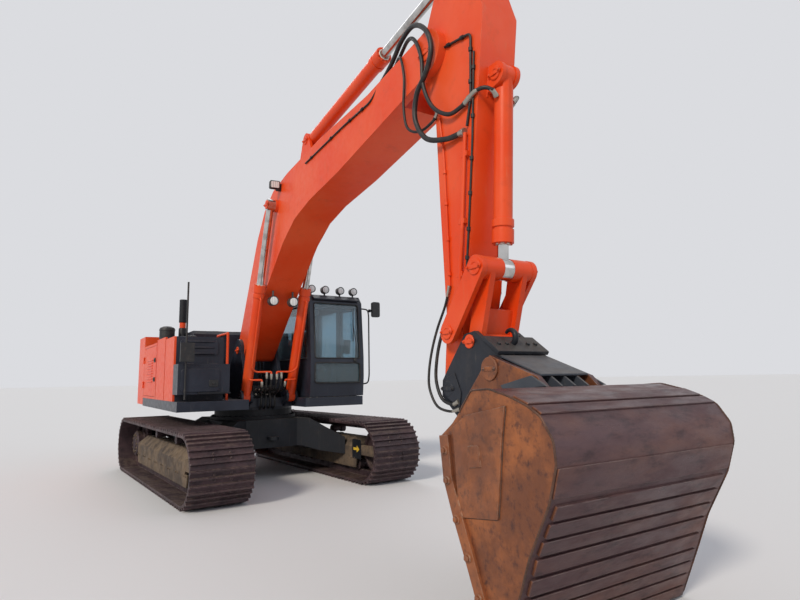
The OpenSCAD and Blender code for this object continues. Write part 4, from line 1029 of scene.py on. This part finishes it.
class EXCAVATOR_OT_welds(Operator):
    """Weld beads on the bucket, the boom's lugs and the gussets of the arm"""
    bl_idname = "excavator.welds"
    bl_label = "Welds"

    def execute(self, context):
        bucket, boom, arm = [], [], []
        for side in (-1, 1):
            bucket += [
                bead(side * 0.849, 0.007, (6.78, 1.345), (6.9, 1.48), (7.06, 1.49), (7.23, 1.45), (7.37, 1.4),
                     (7.46, 1.35), (7.54, 1.23), (7.55, 1.11), (7.49, 0.91), (7.33, 0.61),
                     (7.24, 0.38), (7.1, 0.04)),
                bead(side * 0.851, 0.006, (6.72, 1.25), (7.205, 1.398), (7.168, 1.21), (7.138, 0.98),
                     (7.108, 0.762), (6.76, 0.712))]
            bucket += [bead(side * x, 0.007, (6.64, 1.205), (6.79, 1.352), (6.9, 1.482), (6.975, 1.486))
                       for x in (0.239, 0.283)]
            boom += [bead(side * x, 0.006, (2.2, 4.543), (2.45, 4.561), (2.7, 4.579))
                     for x in (0.0545, 0.0942)]
            arm.append(bead(side * 0.0945, 0.006, (6.354, 4.11), (6.338, 3.99), (6.32, 3.86)))
        piece("bucket_welds", bucket, "bucket", "bucket_steel", "weld")
        piece("boom_welds", boom, "boom", "paint_orange")
        piece("arm_welds", arm, "arm", "paint_orange")
        return {"FINISHED"}


class EXCAVATOR_OT_marks(Operator):
    """Guard plate with a plain arrow on the track frame, and the seals and collars of the cylinders"""
    bl_idname = "excavator.marks"
    bl_label = "Marks and seals"

    def execute(self, context):
        # Inside the left track, by the idler
        at = Matrix.Rotation(TRACK_TURN, 4, "Z") @ frame_at(
            (GAUGE / 2 - HALF_SKIRT - 0.001, -1.62, 0.47), (-1, 0, 0))
        plate = slab(rounded(0.26, 0.3, 0.02), 0.008, at @ frame_at((0, 0, 0), UP))
        piece("guard_plate", [plate], "undercarriage", "paint_black")
        arrow = [(-0.02, -0.09), (0.02, -0.09), (0.02, 0.01), (0.055, 0.01), (0.0, 0.09), (-0.055, 0.01),
                 (-0.02, 0.01)]
        lying = at @ Matrix.Translation((0, 0, 0.008)) @ Matrix.Rotation(math.radians(-90), 4, "Z")
        piece("plain_arrow", [slab(arrow, 0.0015, lying, 0.0005)], "undercarriage", "paint_black", "marking",
              smooth=False)
        for body, base, pin, long, barrel, gland, rod, places in CYLINDERS:
            axes = list(cylinder_axes(base, pin, places))
            piece(f"wiper_seal_{body}", [
                hoop(frame_at(foot + way * (long + 0.006), way), rod + 0.0087, 0.0072)
                for foot, way in axes], body, "black_plastic", "seal")
            # Collar behind the gland
            piece(f"gland_collar_{body}", [
                lathe([(barrel - 0.01, -0.085), (gland - 0.004, -0.085), (gland, -0.081), (gland, -0.024),
                       (gland - 0.004, -0.02), (barrel - 0.01, -0.02)], foot + way * (long - 0.11), way, 40)
                for foot, way in axes], body, "paint_orange")
        return {"FINISHED"}


class EXCAVATOR_OT_bucket(Operator):
    """Wear strips, side cutters, doubler and adapter plates of the bucket"""
    bl_idname = "excavator.bucket"
    bl_label = "Bucket's plates"

    def execute(self, context):
        # Strips down the heel, where the bucket drags
        heel = [Vector(p) for p in ((7.49, 0.91), (7.33, 0.61), (7.24, 0.38), (7.095, 0.02))]
        strips = []
        for p, q in zip(heel, heel[1:]):
            count = max(1, round((q - p).length / 0.104))
            strips += [cross_plate(0.8, p.lerp(q, (i + 1) / count), p.lerp(q, i / count), 0.016, 0.78)
                       for i in range(count)]
        piece("wear_strips", strips, "bucket", "bucket_steel")
        piece("back_plates", [cross_plate(0.835, (7.38, 1.394), (7.452, 1.356), 0.012, 0.96),
                              cross_plate(0.835, (7.24, 1.447), (7.36, 1.404), 0.012, 0.96),
                              cross_plate(0.835, (7.494, 0.93), (7.546, 1.1), 0.01, 0.94)],
              "bucket", "bucket_steel")
        sides, wings = [], []
        for side in (-1, 1):
            sides += [side_plate(BUCKET_HALF, side, 0.022, [
                (7.03, 0.01), (7.075, 0.06), (6.97, 0.33), (6.885, 0.53), (6.79, 0.74), (6.705, 0.945),
                (6.675, 1.2), (6.587, 1.19), (6.621, 0.92), (6.711, 0.7), (6.811, 0.49), (6.901, 0.29)])]
            sides += [side_plate(BUCKET_HALF, side, 0.014, [
                (6.76, 0.712), (7.108, 0.762), (7.138, 0.98), (7.168, 1.21), (7.205, 1.398), (6.85, 1.33),
                (6.72, 1.25)])]
            sides += [side_plate(BUCKET_HALF + 0.013, side, 0.01, [
                (6.88, 1.02), (6.985, 1.035), (6.97, 1.16), (6.865, 1.145)])]
            # Doubler rings round the pins of the ears
            sides += [lathe([(0.05, -0.004), (0.088, -0.004), (0.088, 0.01), (0.084, 0.014), (0.05, 0.014)],
                            spot(side * EAR_HALF, *pin), (side, 0, 0), 32) for pin in (GRIP_A, GRIP_B)]
            # Wings that brace the ears down onto the bucket's back
            wings += [side_plate(EAR_HALF + 0.0003, side, 0.018, [
                (6.56, 1.5), (6.7, 1.285), (6.79, 1.358), (6.905, 1.488), (7.0, 1.492), (6.86, 1.565)])]
        piece("side_cutters", sides, "bucket", "bucket_steel", "bucket_side")
        piece("lip_plate", [cross_plate(0.845, (7.034, 0.012), (7.086, 0.15), 0.008, 0.9)], "bucket",
              "bucket_steel")
        adapter = [cross_plate(0.238, (6.895, 1.56), (6.5, 1.705), 0.014)]
        adapter += [side_plate(x - 0.01, 1, 0.02, [(6.54, 1.685), (6.89, 1.558), (6.985, 1.492), (6.9, 1.47),
                                                   (6.78, 1.335), (6.7, 1.262), (6.6, 1.4)])
                    for x in (-0.13, 0.0, 0.13)]
        piece("adapter_plates", adapter + wings, "bucket", "bucket_steel", "adapter_enamel")
        return {"FINISHED"}


class EXCAVATOR_OT_coupler(Operator):
    """Lifting hook, tube, ribs and hydraulic latch of the coupler"""
    bl_idname = "excavator.coupler"
    bl_label = "Coupler's fittings"

    def execute(self, context):
        eye, eye_forward, eye_up = 0.058, 6.405, 1.86
        hook = [spot(-0.035, eye_forward + eye * math.cos(t), eye_up + eye * math.sin(t))
                for t in (math.radians(-130 + 15 * i) for i in range(19))]
        parts = [
            lathe([(0.01, -0.236), (0.036, -0.236), (0.036, 0.236), (0.01, 0.236)], spot(0, 6.355, 1.742),
                  (1, 0, 0), 28),
            sweep(hook, lambda a, b: 0.012 + 0.012 * min(1.0, b / 0.12)),
            side_plate(-0.055, 1, 0.04, [(6.325, 1.745), (6.385, 1.735), (6.4, 1.79), (6.36, 1.812),
                                         (6.335, 1.79)]),
            # Latch cylinder under the cover
            lathe([(0.01, 0.0), (0.034, 0.0), (0.034, 0.012), (0.028, 0.014), (0.028, 0.17), (0.034, 0.172),
                   (0.034, 0.2), (0.016, 0.202), (0.016, 0.26), (0.01, 0.26)], spot(0.1, 6.115, 1.395),
                  (0, -0.62, 0.78), 24)]
        parts += [side_plate(x - 0.009, 1, 0.018, [(6.18, 1.7), (6.34, 1.64), (6.43, 1.7), (6.36, 1.76),
                                                   (6.2, 1.77)]) for x in (-0.11, 0.0, 0.11)]
        parts.append(cross_plate(0.262, (6.505, 1.722), (6.33, 1.847), 0.03))
        parts += [lathe([(0.004, 0.0), (0.017, 0.0), (0.017, 0.012), (0.013, 0.016), (0.004, 0.016)],
                        spot(x, 6.44, 1.805), (0, -0.58, 0.81), 6) for x in (-0.19, -0.11, 0.11, 0.19)]
        piece("coupler_fittings", parts, "bucket", "coupler_steel")
        piece("coupler_doublers", [side_plate(COUPLER_HALF, side, 0.01, [
            (5.8, 1.42), (5.9, 1.372), (6.02, 1.33), (6.04, 1.44), (5.96, 1.6), (5.86, 1.56)])
            for side in (-1, 1)], "bucket", "coupler_steel")
        return {"FINISHED"}


class EXCAVATOR_OT_rails(Operator):
    """Rail, visor and mirror of the cab, step plate, and the exhaust's outer sleeve"""
    bl_idname = "excavator.rails"
    bl_label = "Rails, visor and sleeve"

    def execute(self, context):
        out, ahead = CAB_X1 + 0.065, CAB_FRONT + 0.07
        rail = bent([spot(CAB_X1 - 0.01, CAB_FRONT - 0.12, CAB_TOP - 0.2),
                     spot(out, ahead - 0.04, CAB_TOP - 0.23),
                     spot(out, ahead, CAB_TOP - 0.33), spot(out, ahead, CAB_FLOOR + 0.33),
                     spot(out, ahead - 0.04, CAB_FLOOR + 0.2),
                     spot(CAB_X1 - 0.01, CAB_FRONT - 0.06, CAB_FLOOR + 0.19)], 0.06)
        clip = pad(0.05, 0.05, 0.01, 0.03, spot(out + 0.004, ahead, 2.72), (1, 0, 0))
        piece("cab_rail", [sweep(rail, 0.012), clip], "upper", "paint_black")
        glass = pad(0.15, 0.26, 0.03, 0.052, spot(out + 0.132, ahead + 0.03, 2.745), REARWARD)
        stalk = sweep([spot(out + 0.02, ahead, 2.72), spot(out + 0.08, ahead, 2.735)], 0.01, 10)
        piece("left_mirror", [glass, stalk], "upper", "black_plastic")
        visor = side_plate(CAB_X0 + 0.065, 1, CAB_X1 - CAB_X0 - 0.13, [
            (1.095, 2.905), (1.17, 2.883), (1.182, 2.9), (1.06, 2.968)])
        roof = pad(0.785, 1.32, 0.06, 0.024, spot(CAB_X, 0.25, CAB_TOP - 0.001), UP)
        piece("cab_visor_and_roof", [visor, roof], "upper", "paint_navy", "cab_enamel")
        piece("step_plates", [slab([(-0.225, -0.03), (0.225, -0.03), (0.225, 0.03), (-0.225, 0.03)], 0.024,
                                   frame_at(spot(-0.975, 1.23, 1.387), UP))], "upper", "paint_black")
        stack, sides = (-0.96, -1.29), 32
        sleeve = lathe([(0.01, 0.0), (0.062, 0.0), (0.068, 0.006), (0.068, 0.425), (0.064, 0.43),
                        (0.058, 0.425), (0.056, 0.404), (0.01, 0.404)], spot(*stack, 2.66), UP, sides)
        foot = lathe([(0.01, 0.001), (0.085, 0.001), (0.085, 0.014), (0.072, 0.018), (0.068, 0.3),
                      (0.058, 0.32), (0.01, 0.32)], spot(*stack, 2.24), UP, sides)
        piece("exhaust_sleeve", [sleeve, foot], "upper", "paint_black")
        dome = lathe([(0.01, 0.0), (0.125, 0.0), (0.135, 0.006), (0.135, 0.03), (0.12, 0.06), (0.07, 0.085),
                      (0.01, 0.092)], spot(-1.24, -1.2, 2.485), UP, sides)
        piece("intake_dome", [dome], "upper", "black_plastic")
        return {"FINISHED"}


class EXCAVATOR_OT_finishes(Operator):
    """Give every CAD node its finish and smooth its round faces"""
    bl_idname = "excavator.finishes"
    bl_label = "Finishes"

    def execute(self, context):
        make_finishes(context.scene.excavator_look)
        smoother = smooth_nodes()
        own = dict.fromkeys(("cab_shell", "cab_door", "hood", "tool_box", "tool_box_lid", "upper_frame"),
                            "cab_enamel")
        own["car_body"] = "paint_black"
        for part in frame["record"]["subparts"]:
            node = frame["nodes"][part["node"]]
            node.data.materials.clear()
            node.data.materials.append(made_materials[own.get(part["node"], part["material_slot"])])
            node.modifiers.new("smooth", "NODES").node_group = smoother
        return {"FINISHED"}


class EXCAVATOR_OT_stage(Operator):
    """Pale floor, soft studio lights and the camera of the photograph"""
    bl_idname = "excavator.stage"
    bl_label = "Stage"

    def execute(self, context):
        scene = context.scene
        look = scene.excavator_look
        scene.view_settings.view_transform = "Standard"
        scene.world = bpy.data.worlds.new("studio")
        scene.world.use_nodes = True
        tree = scene.world.node_tree
        tree.nodes.clear()
        path = add(tree, "ShaderNodeLightPath").outputs
        seen = calc(tree, "MAXIMUM", path["Is Camera Ray"], path["Is Glossy Ray"])
        seen = calc(tree, "MAXIMUM", seen, path["Is Transmission Ray"])
        light, back = [add(tree, "ShaderNodeBackground", {"Color": rgb(tone), "Strength": strength}).outputs[0]
                       for tone, strength in (("#e9edf4", look.sky), ("#dbdce0", 1.0))]
        mixed = add(tree, "ShaderNodeMixShader", {0: seen, 1: light, 2: back})
        add(tree, "ShaderNodeOutputWorld", {"Surface": mixed.outputs[0]})

        mesh = bpy.data.meshes.new("studio_floor")
        size = 400.0
        mesh.from_pydata([(-size, -size, 0), (size, -size, 0), (size, size, 0), (-size, size, 0)], [],
                         [(0, 1, 2, 3)])
        floor = bpy.data.objects.new("studio_floor", mesh)
        scene.collection.objects.link(floor)
        shader("floor", "pale studio floor", {"Base Color": rgb("#dcdde0"), "Roughness": 0.85})
        mesh.materials.append(made_materials["floor"])

        # Wide suns light the floor evenly, so that it meets the background without a band
        for name, at, wide, share, tone in (("key", (-13.0, -7.0, 10.0), 12, 1.0, "#fff4e4"),
                                            ("fill", (8.0, -13.0, 8.0), 40, 0.12, "#eaf1ff"),
                                            ("rim", (3.0, 12.0, 9.0), 30, 0.22, "#ffffff")):
            data = bpy.data.lights.new(name, "SUN")
            data.angle, data.energy, data.color = math.radians(wide), look.key * share, rgb(tone)[:3]
            lamp = bpy.data.objects.new(name, data)
            lamp.rotation_euler = (-Vector(at)).to_track_quat("-Z", "Y").to_euler()
            scene.collection.objects.link(lamp)

        view = bpy.data.cameras.new("photo_view")
        view.sensor_width, view.lens, view.clip_end = 36.0, VIEW_LENS, 1200.0
        scene.camera = bpy.data.objects.new("photo_view", view)
        scene.collection.objects.link(scene.camera)
        yaw, pitch, roll = map(math.radians, VIEW_TURN)
        ahead = Vector((math.sin(yaw) * math.cos(pitch), math.cos(yaw) * math.cos(pitch), math.sin(pitch)))
        right = Vector((math.cos(yaw), -math.sin(yaw), 0.0))
        right = right * math.cos(roll) + right.cross(ahead) * math.sin(roll)
        up = right.cross(ahead)
        scene.camera.matrix_world = Matrix.LocRotScale(
            Vector(VIEW_PLACE), Matrix((right, up, -ahead)).transposed().to_quaternion(), None)
        return {"FINISHED"}


class ExcavatorLook(PropertyGroup):
    """Colours and sizes that change the looks"""
    orange: FloatVectorProperty(name="Orange", description="Colour of the boom, arm and sides",
                                subtype="COLOR", size=4, min=0.0, max=1.0, default=rgb("#e04412"))
    dark: FloatVectorProperty(name="Blue-black", description="Colour of the cab and housings",
                              subtype="COLOR", size=4, min=0.0, max=1.0, default=rgb("#20242f"))
    wear: FloatProperty(name="Edge wear", description="How much paint is chipped off the edges",
                        subtype="FACTOR", min=0.0, max=1.0, default=0.8)
    bolt: FloatProperty(name="Bolt head", description="Width of the larger bolt heads across their flats",
                        unit="LENGTH", min=0.015, max=0.05, default=0.03)
    hose_scale: FloatProperty(name="Hose thickness", description="Thickness of the hoses against their real one",
                              subtype="FACTOR", min=0.8, max=1.1, default=1.0)
    sky: FloatProperty(name="Sky light", description="Strength of the soft light from all round",
                       min=0.0, max=2.0, default=0.5)
    key: FloatProperty(name="Key light", description="Strength of the main sun",
                       min=0.0, max=6.0, default=2.1)


class EXCAVATOR_PT_panel(Panel):
    """Lists the looks and the steps that dress the excavator"""
    bl_label = "Excavator"
    bl_idname = "EXCAVATOR_PT_panel"
    bl_space_type = "VIEW_3D"
    bl_region_type = "UI"
    bl_category = "Excavator"

    def draw(self, context):
        look = context.scene.excavator_look
        for name in ("orange", "dark", "wear", "bolt", "hose_scale", "sky", "key"):
            self.layout.prop(look, name)
        for step_class in STEPS:
            self.layout.operator(step_class.bl_idname)


STEPS = (EXCAVATOR_OT_stage, EXCAVATOR_OT_finishes, EXCAVATOR_OT_pins, EXCAVATOR_OT_bolts, EXCAVATOR_OT_hoses,
         EXCAVATOR_OT_lamps, EXCAVATOR_OT_cab, EXCAVATOR_OT_seat, EXCAVATOR_OT_panels, EXCAVATOR_OT_welds,
         EXCAVATOR_OT_marks, EXCAVATOR_OT_bucket, EXCAVATOR_OT_coupler, EXCAVATOR_OT_rails)
CLASSES = (ExcavatorLook,) + STEPS + (EXCAVATOR_PT_panel,)


def register():
    for item in CLASSES:
        bpy.utils.register_class(item)
    bpy.types.Scene.excavator_look = PointerProperty(type=ExcavatorLook)


def unregister():
    del bpy.types.Scene.excavator_look
    for item in reversed(CLASSES):
        bpy.utils.unregister_class(item)


def main():
    register()
    for step_class in STEPS:
        group, name = step_class.bl_idname.split(".")
        getattr(getattr(bpy.ops, group), name)()


if __name__ == "__main__":
    main()
